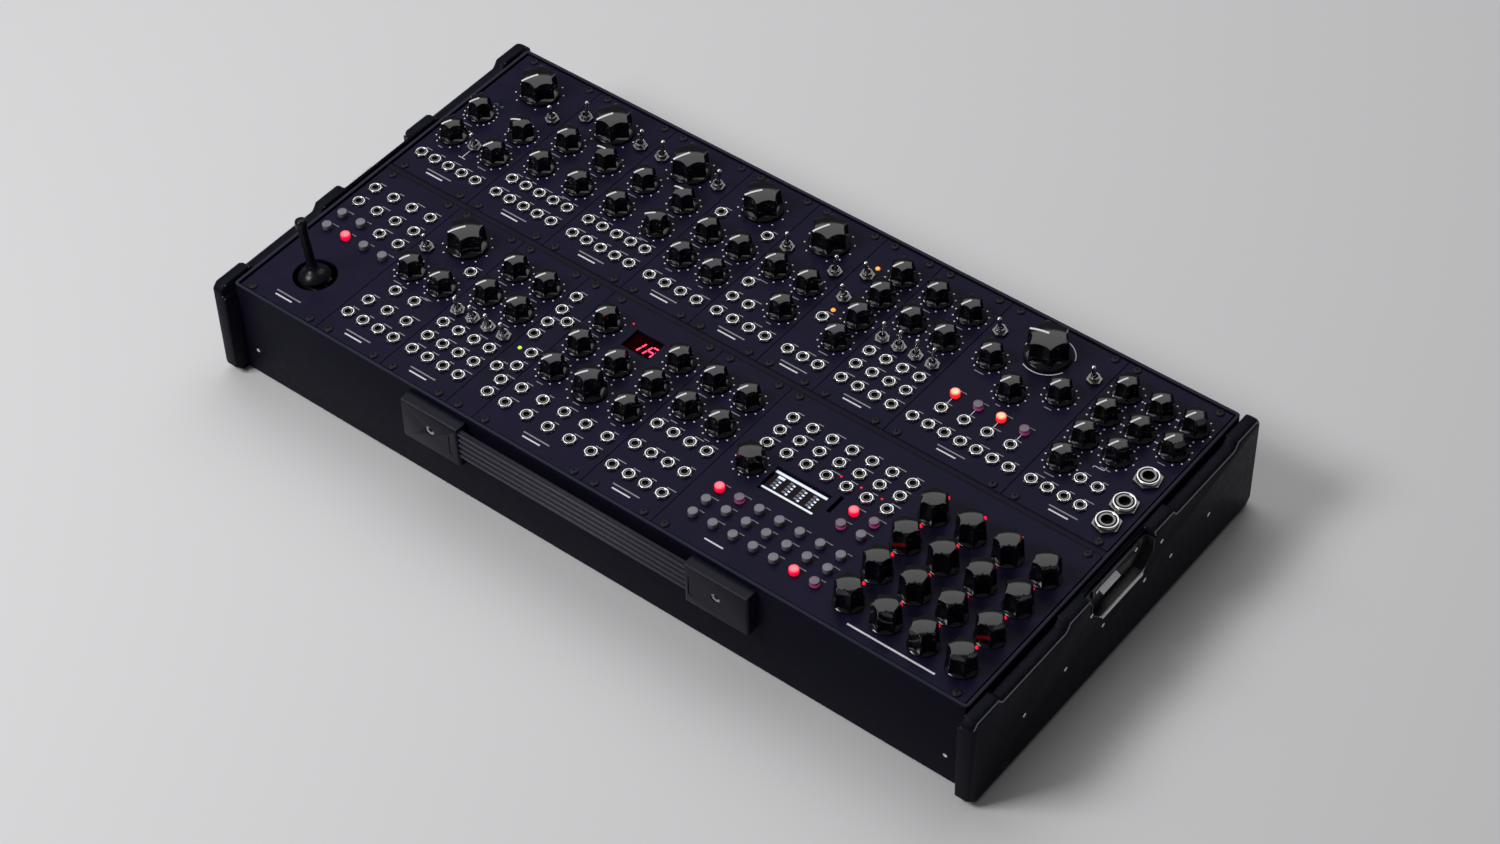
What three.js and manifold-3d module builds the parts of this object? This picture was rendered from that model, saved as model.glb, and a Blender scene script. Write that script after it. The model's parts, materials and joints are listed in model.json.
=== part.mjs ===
// A modular synthesizer in a travel case: a shallow metal tray with moulded end cheeks, a strap
// handle and latch dishes, two rows of module panels on rails, and the knobs, buttons, levers,
// sockets and joystick that stand on the panels. Millimetres, +Z up. While the part is built, x and
// y start at the front left corner of the front row of panels and z = 0 is the panels' top face.
import * as THREE from 'three';
import { mergeVertices } from 'three/addons/utils/BufferGeometryUtils.js';
import Module from 'manifold-3d';

const wasm = await Module();
wasm.setup();

// The rack: the pitch of the modules across, the rows front to back
const unitPitch = 5.08;
const rowUnits = 104;
const panelDepth = 128.5;
const rowSeam = 4.85;
const rowPitch = panelDepth + rowSeam;
const panelThickness = 2;
const panelSideGap = 0.15;

// The tray round the panels
const trayWall = 2;
const trayInnerGap = 1;
const rimHeight = 1;
const trayFloorZ = -68;
const trayCornerRadius = 2.5;

// The moulded end cheeks
const groundZ = -70;
const cheekThickness = 11;
const cheekOverhang = 9;
const cheekRearOverhang = 5.1;
const cheekGrooveWidth = 2;
const cheekGrooveDepth = 6;
const cheekBlockTopZ = 1.7;
const cheekLowTopZ = -3;
const cheekStepRun = 3.5;
const cheekEndBlock = 20.5;
const cheekEndDrop = 4;
const cheekInnerBlock = 18;
const cheekInnerBlockFar = 51;
const cheekBottomCut = 6;
const cheekEdgeRound = 3.4;
const cheekEdgeSteps = 2;

// The latch pans let into the cheeks, and the plates that a lid's latches catch on
const panHalfTop = 31;
const panHalfBottom = 21;
const panDepth = 22.3;
const panSheet = 1;
const panClearance = 0.15;
const panPocketInset = 1.9;
const panLipOut = 0.8;
const panLipHeight = 2.6;
const catchStripLength = 46;
const catchStripHeight = 6;
const catchStripThickness = 1.2;
const catchTopZ = -2.2;
const catchHookLength = 17;
const catchHookOffset = 10;
const catchHookReach = 3.7;
const catchHookDrop = 2.8;
const catchHookThickness = 1;

// The strap handle on the front wall
const handleCapInner = 83;
const handleCapOuter = 127;
const handleTopZ = -3;
const handleBottomZ = -33.5;
const handleReach = 9;
const handleCapRound = 2;
const handleDimpleRadius = 3.3;
const handleDimpleDepth = 1.4;
const handleDimpleZ = -16.5;
const strapHeight = 22;
const strapTopZ = -4.6;
const strapThickness = 2.4;
const strapWallGap = 4.8;
const strapRibs = 5;
const strapRibHeight = 1.6;
const strapRibProud = 0.8;
const strapGrip = 7;
const strapClearance = 0.3;

// The rails that the panels are screwed to
const railWidth = 9;
const railHeight = 12;
const railSlot = 3.2;
const railSlotCavity = 5.6;
const railSlotNeck = 2;
const railSlotDepth = 5;
const railEndGap = 0.2;
const railLipGap = 0.3;
const railLipZ = -0.4;

// The power board on the tray's floor
const boardInset = 24;
const boardWidth = 62;
const boardThickness = 1.6;
const boardStand = 6;
const boardLegRadius = 3;
const boardLegInset = 6;
const boardHeaders = 9;
const boardHeaderLength = 22;
const boardHeaderWidth = 9;
const boardHeaderHeight = 8.5;

// The power inlet in the tray's back wall
const inletX = 60;
const inletZ = -44;
const inletFlangeRadius = 6;
const inletFlangeHeight = 1;
const inletBoreRadius = 3.2;
const inletBoreDepth = 3.6;
const inletPinRadius = 1;
const inletBodyDepth = 8;

// Small sockets, levers, buttons and lamps
const jackNutAcross = 8.4;
const jackNutHeight = 2.6;
const jackBoreRadius = 2.1;
const jackBoreDepth = 3.6;
const socketNutAcross = 15.4;
const socketNutHeight = 2;
const socketCollarRadius = 5.2;
const socketHeight = 5;
const socketBoreRadius = 3.25;
const socketBarrelRadius = 6;
const socketBarrelDepth = 16;
const socketFloor = 1.4;
const toggleNutAcross = 8.2;
const toggleNutHeight = 2.2;
const toggleCollarRadius = 3.05;
const toggleCollarHeight = 4.6;
const toggleBoreRadius = 2.3;
const togglePivotZ = 1.2;
const toggleTipZ = 12.4;
const toggleNeckRadius = 1;
const toggleTipRadius = 1.5;
const toggleBallRadius = 1.7;
const toggleTailZ = -4;
const toggleLean = 9;
const buttonRadius = 3;
const buttonHeight = 3.5;
const buttonTopRadius = 2.6;
const buttonEdge = 0.6;
const buttonStem = 5;
const runningGap = 0.45;
const lampRadius = 1.5;
const lampHeight = 0.9;
const slotWidth = 2.4;
const slotLength = 14;
const windowDepth = 0.8;
const numberWindow = [20.5, 15.5];
const dotWindow = [38, 20];

// A nut's sides, and its turn that sets two flats to the left and right
const nutSides = 6;
const nutTurn = Math.PI / nutSides;
const leverSides = 4;

// Knobs: the skirt, the fluted body that narrows upwards, and the domed top
const smallKnob = {
  skirtRadius: 9.2, skirtHeight: 2.2, baseRadius: 8.3, topRadius: 6.7, height: 13.1,
  domeDrop: 1.1, domeShare: 0.62, fluteShare: 0.18, lobes: 6, steps: 2, shaft: 3,
};
const mediumKnob = {
  skirtRadius: 10.6, skirtHeight: 2.6, baseRadius: 9.6, topRadius: 7.9, height: 16.6,
  domeDrop: 1.3, domeShare: 0.62, fluteShare: 0.18, lobes: 6, steps: 2, shaft: 3,
};
const largeKnob = {
  skirtRadius: 13, skirtHeight: 2.8, baseRadius: 12, topRadius: 10.9, height: 15.4,
  domeDrop: 1.5, domeShare: 0.62, fluteShare: 0.18, lobes: 6, steps: 2, shaft: 3,
};
const delayKnob = {
  skirtRadius: 14.5, skirtHeight: 3, baseRadius: 13.4, topRadius: 12.1, height: 17.6,
  domeDrop: 1.7, domeShare: 0.62, fluteShare: 0.18, lobes: 6, steps: 2, shaft: 3,
};
const stepKnob = {
  skirtRadius: 9.1, skirtHeight: 1.2, baseRadius: 9, topRadius: 7.8, height: 16.6,
  domeDrop: 1.3, domeShare: 0.7, fluteShare: 0.15, lobes: 6, steps: 2, shaft: 3,
};
const encoderKnob = { ...stepKnob, height: 12.5 };
const knobLift = 0.5;
const shaftReach = 9;

// The joystick: a dome and stick on a cross gimbal below a round cut-out in the panel
const stickPivotZ = -6;
const stickLean = -7;
const stickReach = 48;
const stickBaseRadius = 3.3;
const stickTopRadius = 4.3;
const stickWaistShare = 0.72;
const stickDomeRadius = 12;
const stickDomeSheet = 1.1;
const stickDomeRimShare = 0.5;
const stickHole = 13.5;
const stickBossRadius = 2.8;
const stickBossHalf = 4.4;
const gimbalOuter = 7;
const gimbalInner = 5;
const gimbalHalfHeight = 1.9;
const gimbalPinRadius = 1.5;
const gimbalPinGap = 0.35;
const gimbalPinEnd = 16;
const lugStart = 12.4;
const lugEnd = 18;
const lugHalfWidth = 3.6;
const lugFoot = 3.4;

// Sides of the round forms
const boreSides = 6;
const roundSides = 8;
const shaftSides = 6;
const domeSides = 12;
const domeRings = 2;

// Welding distance of a form's own corners, and a cutter's reach past the face that it cuts
const weldDistance = 1e-4;
const cutterPast = 1;

// The modules from left to right. Each place is measured from the module's own front left corner:
// across in rack units and up as a share of the panel's depth. Turns are in degrees, and levers lean
// to the front (-1) or the back (1) or stand upright (0).
const columnsOf = (xs, y) => xs.map((x) => [x, y]);
const gridOf = (xs, ys) => ys.flatMap((y) => columnsOf(xs, y));
const spread = (first, pitch, count) => Array.from({ length: count }, (_, i) => first + i * pitch);

const jackPitchShare = 2.1654;
const jackRowShare = 0.13969;
const fourColumnShares = [1.4764, 3.8189, 6.1811, 8.5236];
const amplifierKnobShares = [2.6181, 7.3425];
const bigKnobShare = 0.81128;
const turnLow = 240;

const oscillator = (name) => ({
  name, row: 1, units: 12,
  small: gridOf([3, 9], [0.60934, 0.40545]),
  jacks: gridOf(spread(1.6693, jackPitchShare, 5), [0.25642, jackRowShare]),
  levers: [[1.6693, 0.80272, 1], [10.3307, 0.80272, 1]],
  live: [{ kind: 'knob', name: `${name}_pitch_knob`, at: [6, bigKnobShare], spec: largeKnob, turn: turnLow }],
});

const moduleShares = [
  {
    name: 'wavetable_oscillator', row: 1, units: 12,
    small: gridOf([2.6575, 9.3504], [0.5249, 0.32335]),
    jacks: columnsOf(spread(1.6732, jackPitchShare, 5), jackRowShare),
    levers: [[10.4921, 0.69689, -1], [6.2008, 0.32023, -1]],
    live: [
      { kind: 'knob', name: 'wavetable_pitch_knob', at: [6, bigKnobShare], spec: largeKnob, turn: turnLow },
    ],
  },
  oscillator('oscillator_a'),
  oscillator('oscillator_b'),
  {
    name: 'filter', row: 1, units: 10,
    small: [[7.3957, 0.51907], ...columnsOf([2.6122, 7.3957], 0.3179)],
    jacks: [[1.5354, 0.67043], [8.4646, 0.67043], ...columnsOf([1.4764, 3.8189, 6.1614, 8.5039], 0.13735)],
    live: [
      { kind: 'knob', name: 'filter_cutoff_knob', at: [5, bigKnobShare], spec: largeKnob, turn: 231 },
      { kind: 'knob', name: 'filter_resonance_knob', at: [2.6122, 0.51907], spec: smallKnob, turn: turnLow },
    ],
  },
  {
    name: 'low_pass_gate', row: 1, units: 10,
    small: [[2.6772, 0.5214], [7.4016, 0.5214], [7.4016, 0.31868]],
    jacks: [
      [1.4764, 0.37549], [1.4764, 0.25642], [3.8189, 0.25642],
      ...columnsOf(fourColumnShares, jackRowShare),
    ],
    levers: [[8.5039, 0.66654, 1]],
    live: [
      { kind: 'knob', name: 'gate_level_knob', at: [5, bigKnobShare], spec: largeKnob, turn: turnLow },
      { kind: 'lever', name: 'gate_mode_lever', at: [1.4961, 0.66654], lean: 0 },
    ],
  },
  {
    name: 'envelope', row: 1, units: 8,
    small: [[5.374, 0.8284], [5.374, 0.65798], [5.374, 0.48521], [5.374, 0.31401]],
    jacks: [[1.8307, 0.39805], ...columnsOf([1.8307, 3.9961, 6.1614], jackRowShare)],
    levers: [[1.9291, 0.55603, -1]],
    lamps: [[2.0669, 0.81051], [2.0669, 0.46887]],
    live: [{ kind: 'lever', name: 'envelope_cycle_lever', at: [1.8898, 0.73813], lean: -1 }],
  },
  {
    name: 'rear_quad_amplifier', row: 1, units: 10,
    small: gridOf(amplifierKnobShares, [0.81362, 0.60934]),
    jacks: gridOf(fourColumnShares, [0.35058, 0.24786, jackRowShare]),
    levers: fourColumnShares.slice(1).map((x) => [x, 0.44864, 1]),
    live: [{ kind: 'lever', name: 'rear_amplifier_lever', at: [fourColumnShares[0], 0.44864], lean: 1 }],
  },
  {
    name: 'stereo_delay', row: 1, units: 16,
    small: [[3.2874, 0.63852], [12.7559, 0.63774], [7.9921, 0.52179]],
    jacks: [
      ...columnsOf([3.2874, 6.437, 9.5866, 12.7559], 0.25564),
      ...columnsOf(spread(1.4744, 2.1752, 7), jackRowShare),
    ],
    levers: [[1.5551, 0.80817, -1], [14.4882, 0.80817, -1]],
    live: [
      { kind: 'knob', name: 'delay_time_knob', at: [8, 0.81829], spec: delayKnob, turn: 188 },
      ...[3.2874, 6.4567, 9.5866, 12.7559].map((x, i) => (
        { kind: 'button', name: `delay_lit_button_${i + 1}`, at: [x, 0.36304], lit: true })),
    ],
  },
  {
    name: 'output', row: 1, units: 14,
    small: [
      [2.5787, 0.8284], [2.5787, 0.65798], [2.5787, 0.48444], [2.5787, 0.31323],
      [7.1063, 0.8284], [7.1063, 0.65798], [7.1063, 0.48444], [11.5354, 0.65875],
    ],
    jacks: [[5.748, 0.2751], [8.0118, 0.2751], ...columnsOf([1.4764, 3.6417, 5.8268, 7.9921], 0.14358)],
    sockets: [[11.7323, 0.44864], [11.7323, 0.26187], [11.7323, 0.12724]],
    live: [{ kind: 'knob', name: 'output_level_knob', at: [11.5354, 0.8284], spec: smallKnob, turn: turnLow }],
  },
  {
    name: 'joystick', row: 0, units: 12,
    jacks: [
      ...gridOf([1.5748, 4.5276, 7.4803, 10.4331], [0.85292, 0.73696]),
      [7.4803, 0.62802], [10.4331, 0.62802],
    ],
    buttons: [[1.5748, 0.6249], [4.5276, 0.6249], [1.5748, 0.51907], [7.4803, 0.51907], [10.4331, 0.51907]],
    live: [
      { kind: 'button', name: 'joystick_record_button', at: [4.5276, 0.51907], lit: true },
      { kind: 'stick', name: 'joystick', at: [6.0039, 0.24903] },
    ],
  },
  {
    name: 'modulator', row: 0, units: 10,
    small: columnsOf([2.6575, 7.3819], 0.53619),
    jacks: [
      [8.5039, 0.69027], [3.5039, 0.38833], [6.4961, 0.38833],
      ...columnsOf([2.0276, 5, 7.9528], 0.26926), ...columnsOf([1.4567, 3.8189, 6.1811, 8.5433], 0.15564),
    ],
    levers: [[1.5157, 0.69261, -1]],
    live: [{ kind: 'knob', name: 'modulator_rate_knob', at: [5, 0.82335], spec: largeKnob, turn: 235 }],
  },
  {
    name: 'front_quad_amplifier', row: 0, units: 10,
    small: gridOf(amplifierKnobShares, [0.82335, 0.62257]),
    jacks: gridOf(fourColumnShares, [0.36732, 0.25992, 0.15564]),
    levers: fourColumnShares.slice(1).map((x) => [x, 0.46537, -1]),
    live: [{ kind: 'lever', name: 'front_amplifier_lever', at: [fourColumnShares[0], 0.46537], lean: -1 }],
  },
  {
    name: 'mixer', row: 0, units: 4,
    jacks: [
      [1.0827, 0.85837], [1.0827, 0.75642], [1.0827, 0.65525], [1.0827, 0.55953], [1.0827, 0.30195],
      [2.9134, 0.70739], [2.9134, 0.45759], [2.9134, 0.35642], [2.9134, 0.24825], [2.9134, 0.15564],
    ],
    lamps: [[1.122, 0.45914]],
    live: [],
  },
  {
    name: 'effect', row: 0, units: 16,
    small: [...gridOf([2.5984, 13.4252], [0.81868, 0.62879, 0.43813]), [8.0118, 0.62879]],
    jacks: gridOf([1.6535, 4.8031, 7.9528, 11.1024, 14.252], [0.26537, 0.15253]),
    windows: [{ at: [8.0413, 0.81128], size: numberWindow }],
    live: [{ kind: 'knob', name: 'effect_program_knob', at: [7.9921, 0.43813], spec: mediumKnob, turn: 231 }],
  },
  {
    name: 'offset_mixer', row: 0, units: 10,
    small: [[7.3228, 0.81634], ...columnsOf([2.5984, 7.3228], 0.61401)],
    jacks: gridOf([1.3976, 3.7598, 6.122, 8.4843], [0.45992, 0.30506, 0.14942]),
    live: [{ kind: 'knob', name: 'offset_knob', at: [2.5984, 0.81634], spec: smallKnob, turn: turnLow }],
  },
  {
    name: 'sequencer', row: 0, units: 42,
    step: gridOf([24.0748, 28.9961, 33.8976, 38.8189], [0.75875, 0.55564, 0.35175]),
    jacks: gridOf(spread(3, 2.7618, 7), [0.84903, 0.75564, 0.6607]),
    buttons: [
      [19.685, 0.56265], [16.9291, 0.46926], [19.685, 0.46926],
      ...columnsOf(spread(5.8268, 2.7756, 6), 0.32451), ...columnsOf(spread(3.0512, 2.7756, 7), 0.23191),
      ...columnsOf([...spread(3.0512, 2.7756, 5), 19.7047], 0.1393),
    ],
    windows: [{ at: [9.8031, 0.50973], size: dotWindow }],
    slots: [[14.5276, 0.55642]],
    live: [
      { kind: 'knob', name: 'sequencer_encoder', at: [3.3937, 0.52529], spec: encoderKnob, turn: 0 },
      { kind: 'button', name: 'channel_lit_button', at: [16.9291, 0.56265], lit: true },
      { kind: 'button', name: 'sequencer_lit_button_1', at: [3.0512, 0.32451], lit: true },
      { kind: 'button', name: 'sequencer_lit_button_2', at: [16.9291, 0.1393], lit: true },
      ...[24.0748, 28.9961, 33.8976, 38.8189].map((x, i) => (
        { kind: 'knob', name: `sequencer_step_knob_${i + 1}`, at: [x, 0.14864], spec: stepKnob, turn: 0 })),
    ],
  },
];

// Colours and surfaces
const materialOf = {
  tray: { color: 0x1d1e22, roughness: 0.45, metalness: 0.6 },
  cheek: { color: 0x18191c, roughness: 0.7, metalness: 0 },
  panel: { color: 0x141518, roughness: 0.5, metalness: 0.3 },
  knob: { color: 0x0d0d0f, roughness: 0.35, metalness: 0 },
  steel: { color: 0xc3c5c8, roughness: 0.3, metalness: 1 },
  rail: { color: 0x9a9da1, roughness: 0.4, metalness: 1 },
  rubber: { color: 0x141416, roughness: 0.8, metalness: 0 },
  board: { color: 0x14452c, roughness: 0.5, metalness: 0 },
  lit: { color: 0xff4a5c, roughness: 0.3, metalness: 0 },
};

// Turns a closed form into a solid for adding and cutting
function solid(geometry) {
  const bare = geometry.clone();
  bare.deleteAttribute('normal');
  bare.deleteAttribute('uv');
  const merged = mergeVertices(bare, weldDistance);
  return new wasm.Manifold(new wasm.Mesh({
    numProp: 3,
    vertProperties: new Float32Array(merged.attributes.position.array),
    triVerts: new Uint32Array(merged.index.array),
  }));
}

// Adds the forms in one list together and cuts the forms in the other out of them
function carve(added, removed = []) {
  const whole = wasm.Manifold.union(added.map(solid));
  if (removed.length === 0) return whole;
  return whole.subtract(wasm.Manifold.union(removed.map(solid)));
}

// Turns a solid back into a geometry
function geometryOf(body) {
  const mesh = body.getMesh();
  const geometry = new THREE.BufferGeometry();
  geometry.setAttribute('position', new THREE.BufferAttribute(new Float32Array(mesh.vertProperties), 3));
  geometry.setIndex(new THREE.BufferAttribute(new Uint32Array(mesh.triVerts), 1));
  const flat = geometry.toNonIndexed();
  flat.computeVertexNormals();
  return flat;
}

// A block between two corners
function block(low, high) {
  const size = high.map((value, axis) => value - low[axis]);
  const middle = high.map((value, axis) => (value + low[axis]) / 2);
  return new THREE.BoxGeometry(...size).translate(...middle);
}

// A form turned about the upright axis from [radius, z] points that start and end on the axis
function turned(profile, sides, phase = 0) {
  const points = profile.map(([radius, z]) => new THREE.Vector2(radius, z));
  return new THREE.LatheGeometry(points, sides).rotateX(Math.PI / 2).rotateZ(phase);
}

function drum(radius, low, high, sides, phase = 0) {
  return turned([[0, low], [radius, low], [radius, high], [0, high]], sides, phase);
}

// The corner radius of a hexagon of a given size across its flats
const hexCorner = (across) => across / Math.sqrt(3);

// The corner radius that keeps a many-sided hole's flats clear of a round form
const holeRadius = (radius, sides) => (radius + runningGap) / Math.cos(Math.PI / sides);

// An outline of [across, up] points in the y-z plane, pushed along x between two places
function slab(points, from, to, bevel = null) {
  const shape = new THREE.Shape(points.map(([y, z]) => new THREE.Vector2(y, z)));
  const settings = { depth: to - from, bevelEnabled: false, steps: 1, ...bevel };
  const geometry = new THREE.ExtrudeGeometry(shape, settings);
  return geometry.applyMatrix4(new THREE.Matrix4().set(0, 0, 1, from, 1, 0, 0, 0, 0, 1, 0, 0, 0, 0, 0, 1));
}

// A fluted knob: turned from its profile, then its body is hollowed between the ridges
function knobForm(spec, lift, fine) {
  const { skirtRadius, skirtHeight, baseRadius, topRadius, height, domeDrop, domeShare } = spec;
  const edgeZ = height - domeDrop;
  const profile = [[0, lift], [skirtRadius, lift]];
  if (fine) profile.push([skirtRadius, skirtHeight]);
  profile.push([baseRadius, skirtHeight], [topRadius, edgeZ]);
  if (fine) profile.push([topRadius * domeShare, height - domeDrop * domeShare * domeShare]);
  profile.push([0, height]);
  const perLobe = fine ? spec.steps : 1;
  const geometry = turned(profile, spec.lobes * perLobe);
  const place = geometry.attributes.position;
  for (let i = 0; i < place.count; i += 1) {
    const x = place.getX(i);
    const y = place.getY(i);
    const radius = Math.hypot(x, y);
    if (radius > 0 && radius < (skirtRadius + baseRadius) / 2 && place.getZ(i) > lift) {
      const angle = Math.atan2(x, -y);
      const draw = 1 - spec.fluteShare * Math.abs(Math.sin((spec.lobes * angle) / 2));
      place.setXY(i, x * draw, y * draw);
    }
  }
  return geometry.rotateZ(Math.PI / 2);
}

// The outlines of the end cheek and of its latch pocket, in the y-z plane
const frontY = -(trayInnerGap + trayWall + cheekOverhang);
const rearY = rowPitch + panelDepth + trayInnerGap + trayWall + cheekRearOverhang;
const middleY = (frontY + rearY) / 2;
const halfDepth = (rearY - frontY) / 2;

function cheekOutline() {
  const half = [
    [halfDepth - cheekBottomCut, groundZ], [halfDepth, groundZ + cheekBottomCut],
    [halfDepth, cheekBlockTopZ - cheekEndDrop], [halfDepth - cheekEndDrop, cheekBlockTopZ],
    [halfDepth - cheekEndDrop - cheekEndBlock, cheekBlockTopZ],
    [halfDepth - cheekEndDrop - cheekEndBlock - cheekStepRun, cheekLowTopZ],
    [cheekInnerBlockFar + cheekStepRun, cheekLowTopZ], [cheekInnerBlockFar, cheekBlockTopZ],
    [cheekInnerBlockFar - cheekInnerBlock, cheekBlockTopZ],
  ];
  const right = half.map(([y, z]) => [middleY + y, z]);
  const left = half.map(([y, z]) => [middleY - y, z]).reverse();
  return [...right, ...left];
}

function panOutline(inset, past) {
  const slope = panHalfTop - panHalfBottom;
  const kneeZ = -panDepth + slope;
  const corner = inset * Math.tan(Math.PI / 8);
  return [
    [middleY - panHalfTop + inset, past], [middleY - panHalfTop + inset, kneeZ + corner],
    [middleY - panHalfBottom + corner, -panDepth + inset],
    [middleY + panHalfBottom - corner, -panDepth + inset],
    [middleY + panHalfTop - inset, kneeZ + corner], [middleY + panHalfTop - inset, past],
  ];
}

// The parts that lie on the right side are made there and mirrored for the left side
const fieldWidth = rowUnits * unitPitch;
const centreX = fieldWidth / 2;
const trayLeft = -(trayInnerGap + trayWall);
const trayRight = fieldWidth + trayInnerGap + trayWall;
const trayFront = -(trayInnerGap + trayWall);
const trayRear = rowPitch + panelDepth + trayInnerGap + trayWall;
const cheekOuterX = trayRight + cheekThickness;
const pocketX = trayRight + cheekGrooveWidth + panPocketInset;

function mirrored(geometry) {
  const flipped = geometry.clone().translate(-centreX, 0, 0).scale(-1, 1, 1).translate(centreX, 0, 0);
  const place = flipped.attributes.position;
  for (let i = 0; i < place.count; i += 3) {
    const second = new THREE.Vector3().fromBufferAttribute(place, i + 1);
    const third = new THREE.Vector3().fromBufferAttribute(place, i + 2);
    place.setXYZ(i + 1, third.x, third.y, third.z);
    place.setXYZ(i + 2, second.x, second.y, second.z);
  }
  flipped.computeVertexNormals();
  return flipped;
}

// The moulded end cheek with its raised blocks, rounded outer edge, groove and latch pocket
function cheekGeometry() {
  const bevel = {
    bevelEnabled: true, bevelThickness: cheekEdgeRound, bevelSize: cheekEdgeRound,
    bevelOffset: -cheekEdgeRound, bevelSegments: cheekEdgeSteps,
  };
  const rounded = slab(cheekOutline(), trayRight - cheekThickness, cheekOuterX - cheekEdgeRound, bevel);
  const inner = block(
    [trayRight - 2 * cheekThickness, frontY - cutterPast, groundZ - cutterPast],
    [trayRight, rearY + cutterPast, cheekBlockTopZ + cutterPast],
  );
  const groove = block(
    [trayRight - cutterPast, frontY - cutterPast, -cheekGrooveDepth],
    [trayRight + cheekGrooveWidth, rearY + cutterPast, cheekBlockTopZ + cutterPast],
  );
  const pocket = slab(panOutline(0, cheekBlockTopZ + cutterPast), pocketX, cheekOuterX + cutterPast);
  return geometryOf(carve([rounded], [inner, groove, pocket]));
}

// The folded steel pan in the pocket, with the lip along its lower edge
function panGeometry() {
  const outer = panOutline(panClearance, cheekLowTopZ);
  const inner = panOutline(panClearance + panSheet, cheekLowTopZ);
  const wrap = slab([...outer, ...inner.slice().reverse()], pocketX + panClearance, cheekOuterX + panClearance);
  const back = slab(outer, pocketX + panClearance, pocketX + panClearance + panSheet);
  const lipFront = middleY - panHalfBottom + panSheet;
  const lipRear = middleY + panHalfBottom - panSheet;
  const lipTop = -panDepth + panClearance + panSheet;
  const lip = block(
    [cheekOuterX + panClearance, lipFront, lipTop - panLipHeight],
    [cheekOuterX + panLipOut, lipRear, lipTop],
  );
  const fold = block(
    [cheekOuterX - panSheet, lipFront, lipTop - panSheet],
    [cheekOuterX + panLipOut, lipRear, lipTop],
  );
  return geometryOf(carve([wrap, back, lip, fold]));
}

// The plate on the pan's back wall, with the sloping hook that a lid's latch pulls on
function catchGeometry() {
  const backX = pocketX + panClearance + panSheet;
  const faceX = backX + catchStripThickness;
  const hookY = middleY - catchHookOffset;
  const strip = block(
    [backX, middleY - catchStripLength / 2, catchTopZ - catchStripHeight],
    [faceX, middleY + catchStripLength / 2, catchTopZ],
  );
  const sheet = [
    [backX, catchTopZ], [faceX + catchHookReach, catchTopZ - catchHookDrop],
    [faceX + catchHookReach, catchTopZ - catchHookDrop - catchHookThickness],
    [backX, catchTopZ - catchHookThickness],
  ];
  const shape = new THREE.Shape(sheet.map(([x, z]) => new THREE.Vector2(x, z)));
  const hook = new THREE.ExtrudeGeometry(shape, { depth: catchHookLength, bevelEnabled: false })
    .rotateX(Math.PI / 2).translate(0, hookY + catchHookLength / 2, 0);
  return geometryOf(carve([strip, hook]));
}

// The tray: floor and four walls with rounded corners, and the power inlet in its back wall
function trayGeometry() {
  const outline = (inset, radius) => {
    const left = trayLeft + inset;
    const right = trayRight - inset;
    const front = trayFront + inset;
    const rear = trayRear - inset;
    const shape = new THREE.Shape();
    shape.moveTo(left + radius, front);
    shape.lineTo(right - radius, front);
    shape.quadraticCurveTo(right, front, right, front + radius);
    shape.lineTo(right, rear - radius);
    shape.quadraticCurveTo(right, rear, right - radius, rear);
    shape.lineTo(left + radius, rear);
    shape.quadraticCurveTo(left, rear, left, rear - radius);
    shape.lineTo(left, front + radius);
    shape.quadraticCurveTo(left, front, left + radius, front);
    return shape;
  };
  const wallHeight = rimHeight - trayFloorZ;
  const outside = new THREE.ExtrudeGeometry(outline(0, trayCornerRadius), {
    depth: wallHeight, bevelEnabled: false, curveSegments: 2,
  }).translate(0, 0, trayFloorZ);
  const inside = new THREE.ExtrudeGeometry(outline(trayWall, trayInnerGap / 2), {
    depth: wallHeight, bevelEnabled: false, curveSegments: 1,
  }).translate(0, 0, trayFloorZ + trayWall);
  const lying = (geometry) => geometry.rotateX(-Math.PI / 2).translate(inletX, 0, inletZ);
  const flange = lying(drum(inletFlangeRadius, trayRear - trayWall, trayRear + inletFlangeHeight, roundSides));
  const body = lying(drum(inletFlangeRadius, trayRear - inletBodyDepth, trayRear, roundSides));
  const bore = lying(turned([
    [inletPinRadius, trayRear + inletFlangeHeight + cutterPast],
    [inletPinRadius, trayRear + inletFlangeHeight - inletBoreDepth],
    [inletBoreRadius, trayRear + inletFlangeHeight - inletBoreDepth],
    [inletBoreRadius, trayRear + inletFlangeHeight + cutterPast],
    [inletPinRadius, trayRear + inletFlangeHeight + cutterPast],
  ], roundSides));
  const shell = solid(outside).subtract(solid(inside));
  const fitted = shell.add(solid(flange)).add(solid(body)).subtract(solid(bore));
  return geometryOf(fitted);
}

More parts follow.
